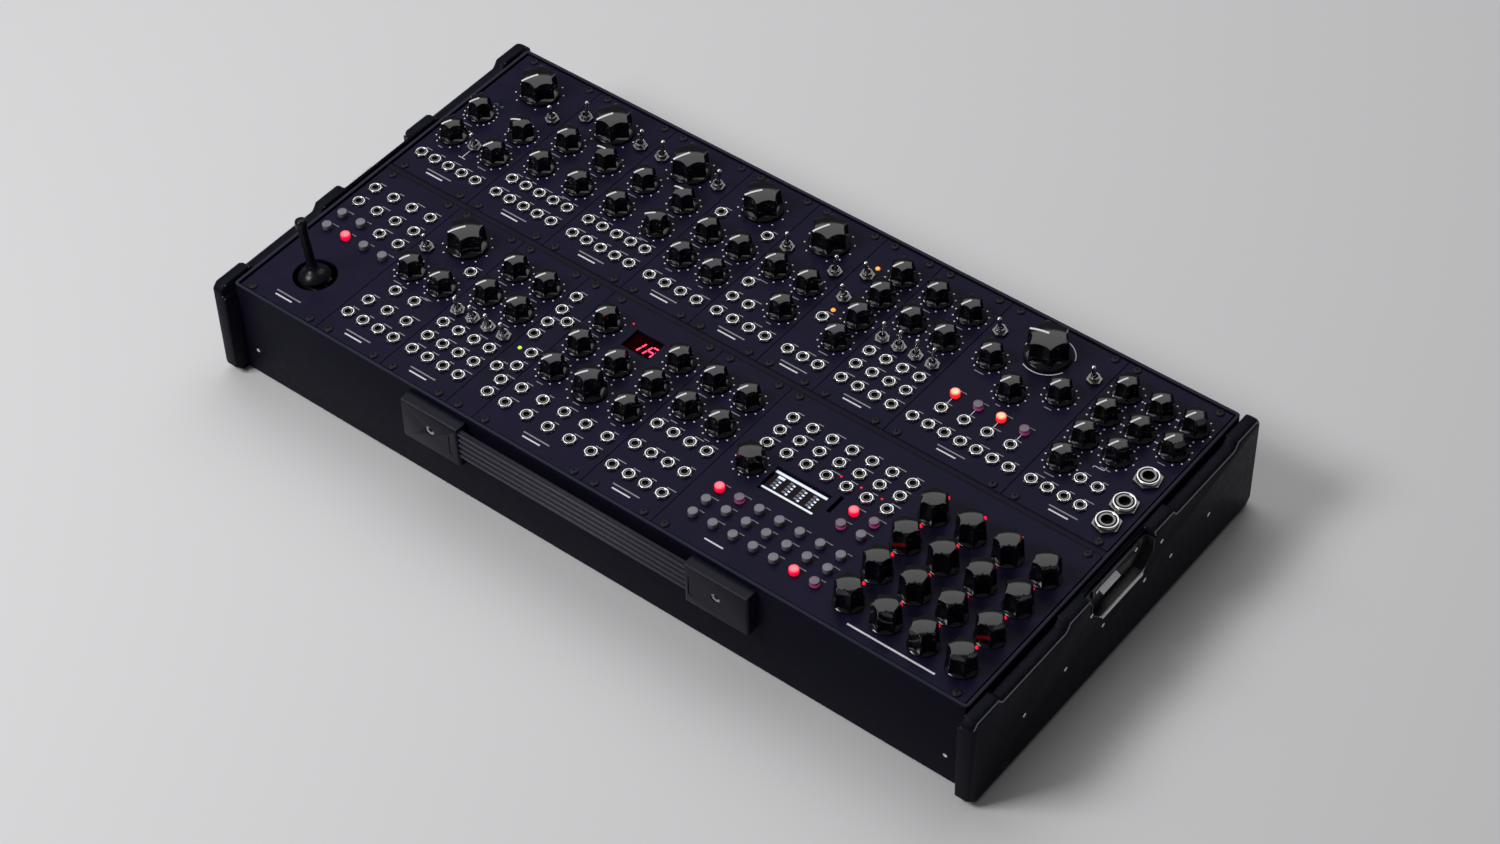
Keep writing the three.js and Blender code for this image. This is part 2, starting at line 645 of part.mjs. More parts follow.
// A rail's section, with the slot that holds the panel screws' nuts, pushed along the case
function railGeometry(frontEdge, rearEdge, lip = null) {
  const top = -panelThickness;
  const outer = [[frontEdge, top - railHeight], [rearEdge, top - railHeight], [rearEdge, top]];
  if (lip) outer.push([lip[1], top], [lip[1], railLipZ], [lip[0], railLipZ], [lip[0], top]);
  outer.push([frontEdge, top]);
  const from = trayLeft + trayWall + railEndGap;
  const to = trayRight - trayWall - railEndGap;
  const slotAt = (y) => [
    slab([
      [y - railSlot / 2, top - railSlotNeck - weldDistance],
      [y + railSlot / 2, top - railSlotNeck - weldDistance],
      [y + railSlot / 2, top + cutterPast], [y - railSlot / 2, top + cutterPast],
    ], from - cutterPast, to + cutterPast),
    slab([
      [y - railSlotCavity / 2, top - railSlotDepth], [y + railSlotCavity / 2, top - railSlotDepth],
      [y + railSlotCavity / 2, top - railSlotNeck], [y - railSlotCavity / 2, top - railSlotNeck],
    ], from - cutterPast, to + cutterPast),
  ];
  const slots = lip
    ? [(frontEdge + lip[0]) / 2, (rearEdge + lip[1]) / 2].flatMap(slotAt)
    : slotAt((frontEdge + rearEdge) / 2);
  return geometryOf(carve([slab(outer, from, to)], slots));
}

// The power board: a board on legs with a row of sockets for the modules' power leads
function boardGeometry() {
  const low = trayFloorZ + trayWall;
  const left = boardInset;
  const right = fieldWidth - boardInset;
  const front = middleY - boardWidth / 2;
  const rear = middleY + boardWidth / 2;
  const forms = [block([left, front, low + boardStand], [right, rear, low + boardStand + boardThickness])];
  for (const x of [left + boardLegInset, right - boardLegInset]) {
    for (const y of [front + boardLegInset, rear - boardLegInset]) {
      forms.push(drum(boardLegRadius, low, low + boardStand + boardThickness / 2, shaftSides).translate(x, y, 0));
    }
  }
  const pitch = (right - left) / boardHeaders;
  const headerTop = low + boardStand + boardThickness + boardHeaderHeight;
  for (let i = 0; i < boardHeaders; i += 1) {
    const x = left + pitch * (i + 1 / 2);
    forms.push(block(
      [x - boardHeaderLength / 2, middleY - boardHeaderWidth / 2, low + boardStand],
      [x + boardHeaderLength / 2, middleY + boardHeaderWidth / 2, headerTop],
    ));
  }
  return geometryOf(carve(forms));
}

// The handle's end cap, with the pocket that the strap's end lies in and the screw's dimple
const wallFace = trayFront;
const strapBack = wallFace - strapWallGap;
const strapFront = strapBack - strapThickness;

function capGeometry() {
  const width = handleCapOuter - handleCapInner;
  const height = handleTopZ - handleBottomZ;
  const shape = new THREE.Shape();
  shape.moveTo(0, 0);
  shape.lineTo(width, 0);
  shape.lineTo(width, height);
  shape.lineTo(0, height);
  const raw = new THREE.ExtrudeGeometry(shape, {
    depth: handleReach, steps: 1, bevelEnabled: true, bevelThickness: handleCapRound,
    bevelSize: handleCapRound, bevelOffset: -handleCapRound, bevelSegments: 2,
  });
  const standing = raw.rotateX(Math.PI / 2)
    .translate(centreX + handleCapInner, wallFace + handleCapRound, handleBottomZ);
  const behind = block(
    [centreX + handleCapInner - cutterPast, wallFace, handleBottomZ - cutterPast],
    [centreX + handleCapOuter + cutterPast, wallFace + handleReach + cutterPast, handleTopZ + cutterPast],
  );
  const gripStart = centreX + handleCapInner;
  const pocketFront = strapFront - strapRibProud - strapClearance;
  const pocket = block(
    [gripStart - cutterPast, pocketFront, strapTopZ - strapHeight - strapClearance],
    [gripStart + strapGrip + strapClearance, strapBack + strapClearance, strapTopZ + strapClearance],
  );
  const dimple = drum(handleDimpleRadius, 0, handleDimpleDepth + cutterPast, roundSides)
    .rotateX(Math.PI / 2)
    .translate(centreX + (handleCapInner + handleCapOuter) / 2, frontFaceY + handleDimpleDepth, handleDimpleZ);
  return geometryOf(carve([standing], [behind, pocket, dimple]));
}

const frontFaceY = wallFace - handleReach;

// The strap between the caps, with its lengthwise ribs
function strapGeometry() {
  const reach = handleCapInner + strapGrip;
  const low = strapTopZ - strapHeight;
  const forms = [block([centreX - reach, strapFront, low], [centreX + reach, strapBack, strapTopZ])];
  const pitch = strapHeight / strapRibs;
  for (let i = 0; i < strapRibs; i += 1) {
    const z = low + pitch * (i + 1 / 2);
    forms.push(block(
      [centreX - reach, strapFront - strapRibProud, z - strapRibHeight / 2],
      [centreX + reach, strapFront + strapThickness / 2, z + strapRibHeight / 2],
    ));
  }
  return geometryOf(carve(forms));
}

// A toggle's lever about its own ball, leaning towards the front (-1), the back (1) or upright
function leverForm(lean) {
  const length = toggleTipZ - togglePivotZ;
  const tail = toggleTailZ - togglePivotZ;
  const flat = toggleBallRadius * Math.SQRT1_2;
  const profile = [
    [0, tail], [toggleNeckRadius, tail], [toggleNeckRadius, -flat], [toggleBallRadius, 0],
    [toggleNeckRadius, flat], [toggleTipRadius, length - toggleTipRadius],
    [toggleTipRadius * Math.SQRT1_2, length], [0, length],
  ];
  return turned(profile, shaftSides).rotateX(THREE.MathUtils.degToRad(-lean * toggleLean));
}

// Turns a place in rack units and a share of the depth into millimetres, with what else it holds
const spotOf = ([across, up, ...rest]) => [across * unitPitch, up * panelDepth, ...rest];
const spotsOf = (places = []) => places.map(spotOf);

// The forms that stand on one module's panel, and those that are cut out of it
function panelGeometry(module) {
  const width = module.units * unitPitch;
  const added = [block([panelSideGap, 0, -panelThickness], [width - panelSideGap, panelDepth, 0])];
  const removed = [];
  const sunk = -panelThickness / 2;
  for (const [x, y] of spotsOf(module.jacks)) {
    const nut = drum(hexCorner(jackNutAcross), sunk, jackNutHeight, nutSides, nutTurn);
    const bore = turned([
      [0, jackNutHeight - jackBoreDepth], [jackBoreRadius, jackNutHeight],
      [jackBoreRadius, jackNutHeight + cutterPast], [0, jackNutHeight + cutterPast],
    ], boreSides, nutTurn);
    added.push(nut.translate(x, y, 0));
    removed.push(bore.translate(x, y, 0));
  }
  for (const [x, y] of spotsOf(module.small)) {
    const turn = THREE.MathUtils.degToRad(turnLow);
    added.push(knobForm(smallKnob, sunk, false).rotateZ(turn).translate(x, y, 0));
  }
  for (const [x, y] of spotsOf(module.step)) {
    added.push(knobForm(stepKnob, sunk, false).translate(x, y, 0));
  }
  for (const [x, y] of spotsOf(module.buttons)) {
    added.push(drum(buttonRadius, sunk, buttonHeight, boreSides).translate(x, y, 0));
  }
  for (const [x, y] of spotsOf(module.lamps)) {
    added.push(drum(lampRadius, sunk, lampHeight, boreSides).translate(x, y, 0));
  }
  for (const [x, y, lean] of spotsOf(module.levers)) {
    const length = toggleTipZ - togglePivotZ;
    const lever = turned([[0, 0], [toggleNeckRadius, 0], [toggleTipRadius, length], [0, length]], leverSides)
      .rotateX(THREE.MathUtils.degToRad(-lean * toggleLean)).translate(x, y, togglePivotZ);
    const nut = drum(hexCorner(toggleNutAcross), sunk, toggleNutHeight, nutSides);
    added.push(nut.translate(x, y, 0), lever);
  }
  for (const [x, y] of spotsOf(module.sockets)) {
    const barrel = drum(socketBarrelRadius, -socketBarrelDepth, sunk, roundSides);
    const nut = drum(hexCorner(socketNutAcross), sunk, socketNutHeight, nutSides);
    const collar = drum(socketCollarRadius, 0, socketHeight, roundSides);
    const bore = drum(socketBoreRadius, socketFloor - socketBarrelDepth, socketHeight + cutterPast, roundSides);
    added.push(barrel.translate(x, y, 0), nut.translate(x, y, 0), collar.translate(x, y, 0));
    removed.push(bore.translate(x, y, 0));
  }
  for (const { at, size } of module.windows ?? []) {
    const [x, y] = spotOf(at);
    const [halfX, halfY] = size.map((value) => value / 2);
    removed.push(block([x - halfX, y - halfY, -windowDepth], [x + halfX, y + halfY, cutterPast]));
  }
  for (const [x, y] of spotsOf(module.slots)) {
    removed.push(block(
      [x - slotWidth / 2, y - slotLength / 2, -panelThickness - cutterPast],
      [x + slotWidth / 2, y + slotLength / 2, cutterPast],
    ));
  }
  for (const control of module.live) {
    const [x, y] = spotOf(control.at);
    const below = -panelThickness - cutterPast;
    const hole = (radius, sides) => drum(radius, below, cutterPast, sides).translate(x, y, 0);
    if (control.kind === 'knob') removed.push(hole(holeRadius(control.spec.shaft, shaftSides), shaftSides));
    if (control.kind === 'button') removed.push(hole(holeRadius(buttonRadius, roundSides), roundSides));
    if (control.kind === 'lever') {
      const nut = drum(hexCorner(toggleNutAcross), -panelThickness, toggleNutHeight, nutSides);
      const collar = drum(toggleCollarRadius, 0, toggleCollarHeight, roundSides);
      const bore = drum(toggleBoreRadius, below, toggleCollarHeight + cutterPast, roundSides);
      added.push(nut.translate(x, y, 0), collar.translate(x, y, 0));
      removed.push(bore.translate(x, y, 0));
    }
    if (control.kind === 'stick') {
      removed.push(hole(stickHole, domeSides));
      for (const side of [-1, 1]) {
        const ends = [x + side * lugStart, x + side * lugEnd].sort((a, b) => a - b);
        added.push(block(
          [ends[0], y - lugHalfWidth, stickPivotZ - lugFoot], [ends[1], y + lugHalfWidth, -panelThickness],
        ));
      }
      const pinHole = drum(gimbalPinRadius + gimbalPinGap, -lugEnd - cutterPast, lugEnd + cutterPast, shaftSides);
      removed.push(pinHole.rotateY(Math.PI / 2).translate(x, y, stickPivotZ));
    }
  }
  return geometryOf(carve(added, removed));
}

// A knob that turns: the body and the shaft that passes down through the panel
function liveKnobGeometry(spec) {
  const forms = [
    knobForm(spec, knobLift, true),
    drum(spec.shaft, -shaftReach, spec.skirtHeight, shaftSides),
  ];
  return geometryOf(carve(forms));
}

function liveButtonGeometry() {
  return geometryOf(carve([turned([
    [0, -buttonStem], [buttonRadius, -buttonStem], [buttonRadius, buttonHeight - buttonEdge],
    [buttonTopRadius, buttonHeight], [0, buttonHeight],
  ], roundSides)]));
}

// The joystick's gimbal about its pivot: a square ring, trunnions along x and a cross pin along y
function gimbalGeometry() {
  const ring = block(
    [-gimbalOuter, -gimbalOuter, -gimbalHalfHeight],
    [gimbalOuter, gimbalOuter, gimbalHalfHeight],
  );
  const middle = block(
    [-gimbalInner, -gimbalInner, -gimbalHalfHeight - cutterPast],
    [gimbalInner, gimbalInner, gimbalHalfHeight + cutterPast],
  );
  const pinReach = gimbalOuter - gimbalPinRadius;
  const crossPin = drum(gimbalPinRadius, -pinReach, pinReach, shaftSides).rotateX(Math.PI / 2);
  const trunnion = (from, to) => drum(gimbalPinRadius, from, to, shaftSides).rotateY(Math.PI / 2);
  const frame = solid(ring).subtract(solid(middle));
  const left = solid(trunnion(-gimbalPinEnd, -gimbalInner - gimbalPinGap));
  const right = solid(trunnion(gimbalInner + gimbalPinGap, gimbalPinEnd));
  return geometryOf(frame.add(solid(crossPin)).add(left).add(right));
}

// The stick about its pivot: a boss on the cross pin, a hollow dome and the tapered stick
function stickGeometry() {
  const arc = (radius, from, to) => Array.from({ length: domeRings + 1 }, (_, i) => {
    const angle = from + ((to - from) * i) / domeRings;
    return [radius * Math.cos(angle), radius * Math.sin(angle)];
  });
  const rim = Math.asin(stickDomeRimShare);
  const innerRadius = stickDomeRadius - stickDomeSheet;
  const innerRim = Math.asin((stickDomeRadius * stickDomeRimShare) / innerRadius);
  const hollow = arc(innerRadius, Math.acos(stickBaseRadius / innerRadius), innerRim);
  const outside = arc(stickDomeRadius, rim, Math.acos(stickBaseRadius / stickDomeRadius));
  const waist = [stickBaseRadius, stickReach * stickWaistShare];
  const profile = [
    [0, 0], [stickBaseRadius * stickWaistShare, 0], ...hollow, ...outside, waist,
    [stickTopRadius, stickReach - stickTopRadius], [stickTopRadius * Math.SQRT1_2, stickReach], [0, stickReach],
  ];
  const stick = turned(profile, domeSides);
  const boss = drum(stickBossRadius, -stickBossHalf, stickBossHalf, roundSides).rotateX(Math.PI / 2);
  const bore = drum(gimbalPinRadius + gimbalPinGap, -gimbalOuter, gimbalOuter, roundSides).rotateX(Math.PI / 2);
  return geometryOf(solid(stick).add(solid(boss)).subtract(solid(bore)));
}

// Puts the pieces together
const part = new THREE.Group();
part.name = 'modular_synthesizer';
const field = new THREE.Group();
field.name = 'panel_frame';
field.position.set(-centreX, -middleY, -groundZ);
part.add(field);

function place(name, geometry, look, position = [0, 0, 0], turn = 0) {
  const mesh = new THREE.Mesh(geometry, new THREE.MeshStandardMaterial({ ...materialOf[look] }));
  mesh.name = name;
  mesh.position.set(...position);
  mesh.rotation.z = THREE.MathUtils.degToRad(turn);
  field.add(mesh);
  return mesh;
}

place('case_tray', trayGeometry(), 'tray');
const cheek = cheekGeometry();
const pan = panGeometry();
const catchPlate = catchGeometry();
const cap = capGeometry();
place('right_end_cheek', cheek, 'cheek');
place('left_end_cheek', mirrored(cheek), 'cheek');
place('right_latch_pan', pan, 'steel');
place('left_latch_pan', mirrored(pan), 'steel');
place('right_catch_plate', catchPlate, 'steel');
place('left_catch_plate', mirrored(catchPlate), 'steel');
place('right_handle_cap', cap, 'rubber');
place('left_handle_cap', mirrored(cap), 'rubber');
place('handle_strap', strapGeometry(), 'rubber');
place('power_board', boardGeometry(), 'board');

const railInset = panelSideGap;
const seamFront = panelDepth + railLipGap;
const seamRear = rowPitch - railLipGap;
place('front_rail', railGeometry(railInset, railInset + railWidth), 'rail');
const middleRail = railGeometry(panelDepth - railWidth, rowPitch + railWidth, [seamFront, seamRear]);
place('middle_rail', middleRail, 'rail');
const rearEdge = rowPitch + panelDepth - railInset;
place('rear_rail', railGeometry(rearEdge - railWidth, rearEdge), 'rail');

const filled = [0, 0];
for (const module of moduleShares) {
  const left = filled[module.row] * unitPitch;
  const base = module.row * rowPitch;
  filled[module.row] += module.units;
  place(`${module.name}_panel`, panelGeometry(module), 'panel', [left, base, 0]);
  for (const control of module.live) {
    const [across, up] = spotOf(control.at);
    const [x, y] = [left + across, base + up];
    if (control.kind === 'knob') {
      place(control.name, liveKnobGeometry(control.spec), 'knob', [x, y, 0], control.turn);
    }
    if (control.kind === 'button') place(control.name, liveButtonGeometry(), 'lit', [x, y, 0]);
    if (control.kind === 'lever') {
      place(control.name, geometryOf(carve([leverForm(control.lean)])), 'steel', [x, y, togglePivotZ]);
    }
    if (control.kind === 'stick') {
      place('joystick_gimbal', gimbalGeometry(), 'steel', [x, y, stickPivotZ]);
      const stick = place('joystick_stick', stickGeometry(), 'knob', [x, y, stickPivotZ]);
      stick.rotation.y = THREE.MathUtils.degToRad(stickLean);
    }
  }
}

export default part;
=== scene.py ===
# %% [markdown]
# # A modular synthesizer in a travel case
# The instrument is a shallow black tray with moulded end cheeks. Two rows of black module panels lie
# in it, and on them stand fluted knobs, nickel patch sockets, toggle levers, lit buttons and a
# joystick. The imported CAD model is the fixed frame: every piece made here sits where it says, and
# rides on one of its bodies. All lengths are metres.

# %% Load the frame
import bpy
import bmesh
import json
import math
from mathutils import Matrix, Vector

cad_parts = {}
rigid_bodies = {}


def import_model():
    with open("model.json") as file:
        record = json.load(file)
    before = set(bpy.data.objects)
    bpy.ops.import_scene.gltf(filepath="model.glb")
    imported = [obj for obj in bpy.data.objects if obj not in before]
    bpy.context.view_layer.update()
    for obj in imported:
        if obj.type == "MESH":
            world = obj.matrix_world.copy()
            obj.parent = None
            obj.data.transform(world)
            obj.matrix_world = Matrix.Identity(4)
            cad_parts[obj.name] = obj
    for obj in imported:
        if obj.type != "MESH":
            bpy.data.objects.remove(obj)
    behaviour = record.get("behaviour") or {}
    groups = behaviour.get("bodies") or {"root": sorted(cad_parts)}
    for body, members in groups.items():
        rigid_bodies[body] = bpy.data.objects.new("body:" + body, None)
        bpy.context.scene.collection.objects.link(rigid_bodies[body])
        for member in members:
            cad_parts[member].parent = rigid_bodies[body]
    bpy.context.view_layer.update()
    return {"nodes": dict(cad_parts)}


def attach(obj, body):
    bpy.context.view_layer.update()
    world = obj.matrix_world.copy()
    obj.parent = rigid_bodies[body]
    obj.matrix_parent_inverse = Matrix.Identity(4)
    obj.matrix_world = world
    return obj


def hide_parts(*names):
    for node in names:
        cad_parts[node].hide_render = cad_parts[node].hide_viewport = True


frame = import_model()
MM = 0.001
ROOT = "instrument"
frame_names = {item.name for item in bpy.data.objects}
finished = set()

# %% [markdown]
# ## The camera
# The photograph looks down on the case from its front right corner with a long lens. Its place was
# found from the corners of the panels, whose real spacing is known. A camera's own axes are its
# right, its up and its back, so these three directions make the columns of its matrix.

# %% Place the camera
camera_right = Vector((0.787030, 0.616629, -0.018789))
camera_up = Vector((-0.435686, 0.577131, 0.690722))
camera_back = Vector((0.436763, -0.535433, 0.722876))
camera_place = Vector((0.87286, -1.04773, 1.43548))
camera_data = bpy.data.cameras.new("camera")
camera_data.sensor_width = 36.0
camera_data.lens = 79.77
camera = bpy.data.objects.new("camera", camera_data)
bpy.context.collection.objects.link(camera)
turn = Matrix((camera_right, camera_up, camera_back)).transposed().to_4x4()
camera.matrix_world = Matrix.Translation(camera_place) @ turn
bpy.context.scene.camera = camera
print("camera at", [round(v, 3) for v in camera_place])

# %% [markdown]
# ## Small helpers for modelling
# An operator works on whatever is selected, so each piece starts with nothing selected. In edit mode
# the faces, edges or corners to work on are chosen by a test on their place or normal, which is the
# code's way of clicking on them.

# %% Helpers: start a piece, choose parts of it, work on what is chosen
def start_piece(name, kind, **place):
    """Adds a primitive, applies its place and size, and returns it as the only selected object."""
    bpy.ops.object.select_all(action="DESELECT")
    getattr(bpy.ops.mesh, "primitive_" + kind + "_add")(**place)
    bpy.ops.object.transform_apply(location=True, rotation=True, scale=True)
    piece = bpy.context.active_object
    piece.name = piece.data.name = name
    return piece


def only(piece):
    """Selects one object and makes it active."""
    bpy.ops.object.select_all(action="DESELECT")
    piece.select_set(True)
    bpy.context.view_layer.objects.active = piece


def choose(piece, kind, test):
    """In edit mode, selects the corners, edges or faces that pass the test."""
    bpy.ops.mesh.select_mode(type=kind)
    bpy.ops.mesh.select_all(action="DESELECT")
    mesh = bmesh.from_edit_mesh(piece.data)
    for part in {"VERT": mesh.verts, "EDGE": mesh.edges, "FACE": mesh.faces}[kind]:
        if test(part):
            part.select_set(True)
    bmesh.update_edit_mesh(piece.data)


def face_at(z, normal_z=1.0, tolerance=2e-5):
    """A test for flat faces at a height that look up (1) or down (-1)."""
    return lambda face: (abs(face.calc_center_median().z - z) < tolerance
                         and face.normal.z * normal_z > 0.9)


def open_top(name, sides, radius, height, x=0.0, y=0.0, foot=0.0):
    """Stands a cylinder up and leaves it in edit mode with its top face chosen."""
    piece = start_piece(name, "cylinder", vertices=sides, radius=radius, depth=height,
                        location=(x, y, foot + height / 2))
    bpy.ops.object.mode_set(mode="EDIT")
    choose(piece, "FACE", face_at(foot + height))
    return piece


def lift(rise):
    """Moves what is chosen straight up, or down by a negative rise."""
    bpy.ops.transform.translate(value=(0, 0, rise))


def draw_up(rise):
    """Extrudes what is chosen straight up, or down by a negative rise."""
    bpy.ops.mesh.extrude_region_move(TRANSFORM_OT_translate={"value": (0, 0, rise)})


def widen(share):
    """Scales what is chosen about the upright axis."""
    bpy.ops.transform.resize(value=(share, share, 1), center_override=(0, 0, 0))


def inset(width, rise=0.0):
    """Draws a smaller face inside the chosen one and lifts it."""
    bpy.ops.mesh.inset(thickness=width, depth=0)
    lift(rise)


# %% Helpers: plain blocks and finishing touches
def metres(*lengths):
    """Millimetres as metres."""
    return [length * MM for length in lengths]


def block(name, place, size):
    """A plain block about a place."""
    return start_piece(name, "cube", size=1.0, location=place, scale=size)


def apply_modifiers(piece):
    """Applies every modifier on a piece, as the button in the panel does."""
    only(piece)
    for modifier in list(piece.modifiers):
        bpy.ops.object.modifier_apply(modifier=modifier.name)


def shade(piece, angle):
    """Shades a piece smooth, but not across edges sharper than an angle in degrees."""
    only(piece)
    bpy.ops.object.shade_smooth_by_angle(angle=math.radians(angle))
    return piece


def soften(piece, width, angle=35.0, smooth=40.0):
    """Rounds the edges sharper than an angle a little and shades the rest smooth."""
    bevel = piece.modifiers.new("bevel", "BEVEL")
    bevel.width = width
    bevel.segments = 2
    bevel.limit_method = "ANGLE"
    bevel.angle_limit = math.radians(angle)
    bevel.miter_outer = "MITER_ARC"
    apply_modifiers(piece)
    return shade(piece, smooth)


def cut_out(piece, cutter):
    """Cuts one object out of another and removes the cutter."""
    knife = piece.modifiers.new("cut", "BOOLEAN")
    knife.operation = "DIFFERENCE"
    knife.solver = "EXACT"
    knife.object = cutter
    apply_modifiers(piece)
    bpy.data.objects.remove(cutter)


def dress(piece, *materials):
    """Gives a piece its material slots."""
    piece.data.materials.clear()
    for material in materials:
        piece.data.materials.append(material)
    return piece


# %% Helpers: copy, join and settle
def twin_of(model, move=Matrix.Identity(4)):
    """A copy of a model with a mesh of its own, moved or turned by a matrix."""
    twin = model.copy()
    twin.data = model.data.copy()
    twin.data.transform(move)
    bpy.context.collection.objects.link(twin)
    return twin


def join_pieces(name, pieces):
    """Joins finished objects into one."""
    bpy.ops.object.select_all(action="DESELECT")
    for piece in pieces:
        piece.select_set(True)
    bpy.context.view_layer.objects.active = pieces[0]
    if len(pieces) > 1:
        bpy.ops.object.join()
    whole = bpy.context.active_object
    whole.name = whole.data.name = name
    return whole


def place_copies(name, model, spots):
    """Copies a finished model to each (x, y, z, turn) and joins the copies into one piece."""
    return join_pieces(name, [
        twin_of(model, Matrix.Translation((x, y, z)) @ Matrix.Rotation(math.radians(angle), 4, "Z"))
        for x, y, z, angle in spots])


def settle(piece, body=ROOT, node=None):
    """Says what a piece rides on and which node of the frame it stands for, which is then hidden."""
    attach(piece, body)
    if node:
        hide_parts(node)
    finished.add(piece.name)
    return piece


print("helpers ready")

# %% [markdown]
# ## Shared surface effects
# Moulded plastic, powder coat and printed metal all have a fine grain that breaks up their
# reflections. One node group makes it: noise at two sizes, put out as a mask for the colour and the
# roughness, and as a height for a Bump node. Each material places the group with its own numbers.
# A second group makes a mask of a stretch of one coordinate, for painted highlights on rims and ribs and
# other marks by place.

# %% Node group: grain
GRAIN_LOW, GRAIN_HIGH = 0.15, 0.4


def new_group(name, inputs, outputs):
    """An empty node group with named number sockets, and its two end nodes."""
    group = bpy.data.node_groups.new(name, "ShaderNodeTree")
    for way, names in (("INPUT", inputs), ("OUTPUT", outputs)):
        for socket in names:
            group.interface.new_socket(name=socket, in_out=way, socket_type="NodeSocketFloat")
    return group, group.nodes.new("NodeGroupInput"), group.nodes.new("NodeGroupOutput")


def make_grain_group():
    """Noise at two sizes as a mask from 0 to 1 and as a height."""
    group, inward, outward = new_group("grain", ("Coarse scale", "Fine scale"), ("Mask", "Height"))
    nodes, links = group.nodes, group.links
    place = nodes.new("ShaderNodeTexCoord")
    coarse = nodes.new("ShaderNodeTexNoise")
    fine = nodes.new("ShaderNodeTexNoise")
    for noise, socket, detail in ((coarse, "Coarse scale", 3.0), (fine, "Fine scale", 2.0)):
        noise.inputs["Detail"].default_value = detail
        links.new(place.outputs["Object"], noise.inputs["Vector"])
        links.new(inward.outputs[socket], noise.inputs["Scale"])
    mix = nodes.new("ShaderNodeMath")
    mix.operation = "MULTIPLY"
    links.new(coarse.outputs["Fac"], mix.inputs[0])
    links.new(fine.outputs["Fac"], mix.inputs[1])
    stretch = nodes.new("ShaderNodeMapRange")
    stretch.inputs["From Min"].default_value = GRAIN_LOW
    stretch.inputs["From Max"].default_value = GRAIN_HIGH
    links.new(mix.outputs[0], stretch.inputs["Value"])
    links.new(stretch.outputs["Result"], outward.inputs["Mask"])
    links.new(fine.outputs["Fac"], outward.inputs["Height"])
    return group


grain_group = make_grain_group()
print("grain group", len(grain_group.nodes), "nodes")

# %% Node group: band
def make_band_group():
    """Two bounds on one coordinate as a soft mask: 0 at the low one and beyond, 1 at the high one."""
    group, inward, outward = new_group("band", ("Value", "Low", "High"), ("Mask",))
    span = group.nodes.new("ShaderNodeMapRange")
    group.links.new(inward.outputs["Value"], span.inputs["Value"])
    group.links.new(inward.outputs["Low"], span.inputs["From Min"])
    group.links.new(inward.outputs["High"], span.inputs["From Max"])
    group.links.new(span.outputs["Result"], outward.inputs["Mask"])
    return group


band_group = make_band_group()


def coordinate_mask(material, axis, low, high, absolute=False):
    """Places the band group on one axis of the Object coordinates and returns its mask."""
    nodes, links = material.node_tree.nodes, material.node_tree.links
    place = nodes.new("ShaderNodeTexCoord")
    parts = nodes.new("ShaderNodeSeparateXYZ")
    links.new(place.outputs["Object"], parts.inputs["Vector"])
    value = parts.outputs[axis]
    if absolute:
        size = nodes.new("ShaderNodeMath")
        size.operation = "ABSOLUTE"
        links.new(value, size.inputs[0])
        value = size.outputs["Value"]
    band = nodes.new("ShaderNodeGroup")
    band.node_tree = band_group
    links.new(value, band.inputs["Value"])
    band.inputs["Low"].default_value = low
    band.inputs["High"].default_value = high
    return band.outputs["Mask"]


def colour_mix(material, factor, first, second):
    """A colour between two others; each may be a colour or an output of another node."""
    nodes, links = material.node_tree.nodes, material.node_tree.links
    mix = nodes.new("ShaderNodeMix")
    mix.data_type = "RGBA"
    links.new(factor, mix.inputs["Factor"])
    for name, colour in (("A", first), ("B", second)):
        if isinstance(colour, tuple):
            mix.inputs[name].default_value = (*colour, 1.0)
        else:
            links.new(colour, mix.inputs[name])
    return mix.outputs["Result"]


def attribute_mask(material, name):
    """The values of a mesh's attribute as a mask."""
    attribute = material.node_tree.nodes.new("ShaderNodeAttribute")
    attribute.attribute_name = name
    return attribute.outputs["Fac"]


def overlay(material, mask, colour, socket="Base Color"):
    """Lays a colour over what a material already has in a socket, where the mask is 1."""
    target = material.node_tree.nodes["Principled BSDF"].inputs[socket]
    under = target.links[0].from_socket
    material.node_tree.links.new(colour_mix(material, mask, under, colour), target)


print("band group", len(band_group.nodes), "nodes")

# %% [markdown]
# ## Materials
# Nearly everything is black, so the finishes differ by how they shine: the panels are satin, the knobs
# glossier, the cheeks rough and grained, and the nuts bright nickel. A helper builds a Principled
# material whose colour and roughness vary with the grain group, with a bump for the surface's relief.

# %% Helper: a grained material
def grained(name, dark, light, rough, relief=0.0, coarse=300.0, fine=2500.0, metallic=0.0, specular=0.5):
    """A surface whose colour runs from dark to light and whose roughness runs over a range."""
    material = bpy.data.materials.new(name)
    material.use_nodes = True
    nodes, links = material.node_tree.nodes, material.node_tree.links
    shader = nodes["Principled BSDF"]
    shader.inputs["Metallic"].default_value = metallic
    shader.inputs["Specular IOR Level"].default_value = specular
    grain = nodes.new("ShaderNodeGroup")
    grain.node_tree = grain_group
    grain.name = "grain"
    grain.inputs["Coarse scale"].default_value = coarse
    grain.inputs["Fine scale"].default_value = fine
    links.new(colour_mix(material, grain.outputs["Mask"], dark, light), shader.inputs["Base Color"])
    roughness = nodes.new("ShaderNodeMapRange")
    roughness.inputs["To Min"].default_value = rough[0]
    roughness.inputs["To Max"].default_value = rough[1]
    links.new(grain.outputs["Mask"], roughness.inputs["Value"])
    links.new(roughness.outputs["Result"], shader.inputs["Roughness"])
    if relief > 0:
        bump = nodes.new("ShaderNodeBump")
        bump.inputs["Strength"].default_value = 1.0
        bump.inputs["Distance"].default_value = relief
        links.new(grain.outputs["Height"], bump.inputs["Height"])
        links.new(bump.outputs["Normal"], shader.inputs["Normal"])
    return material


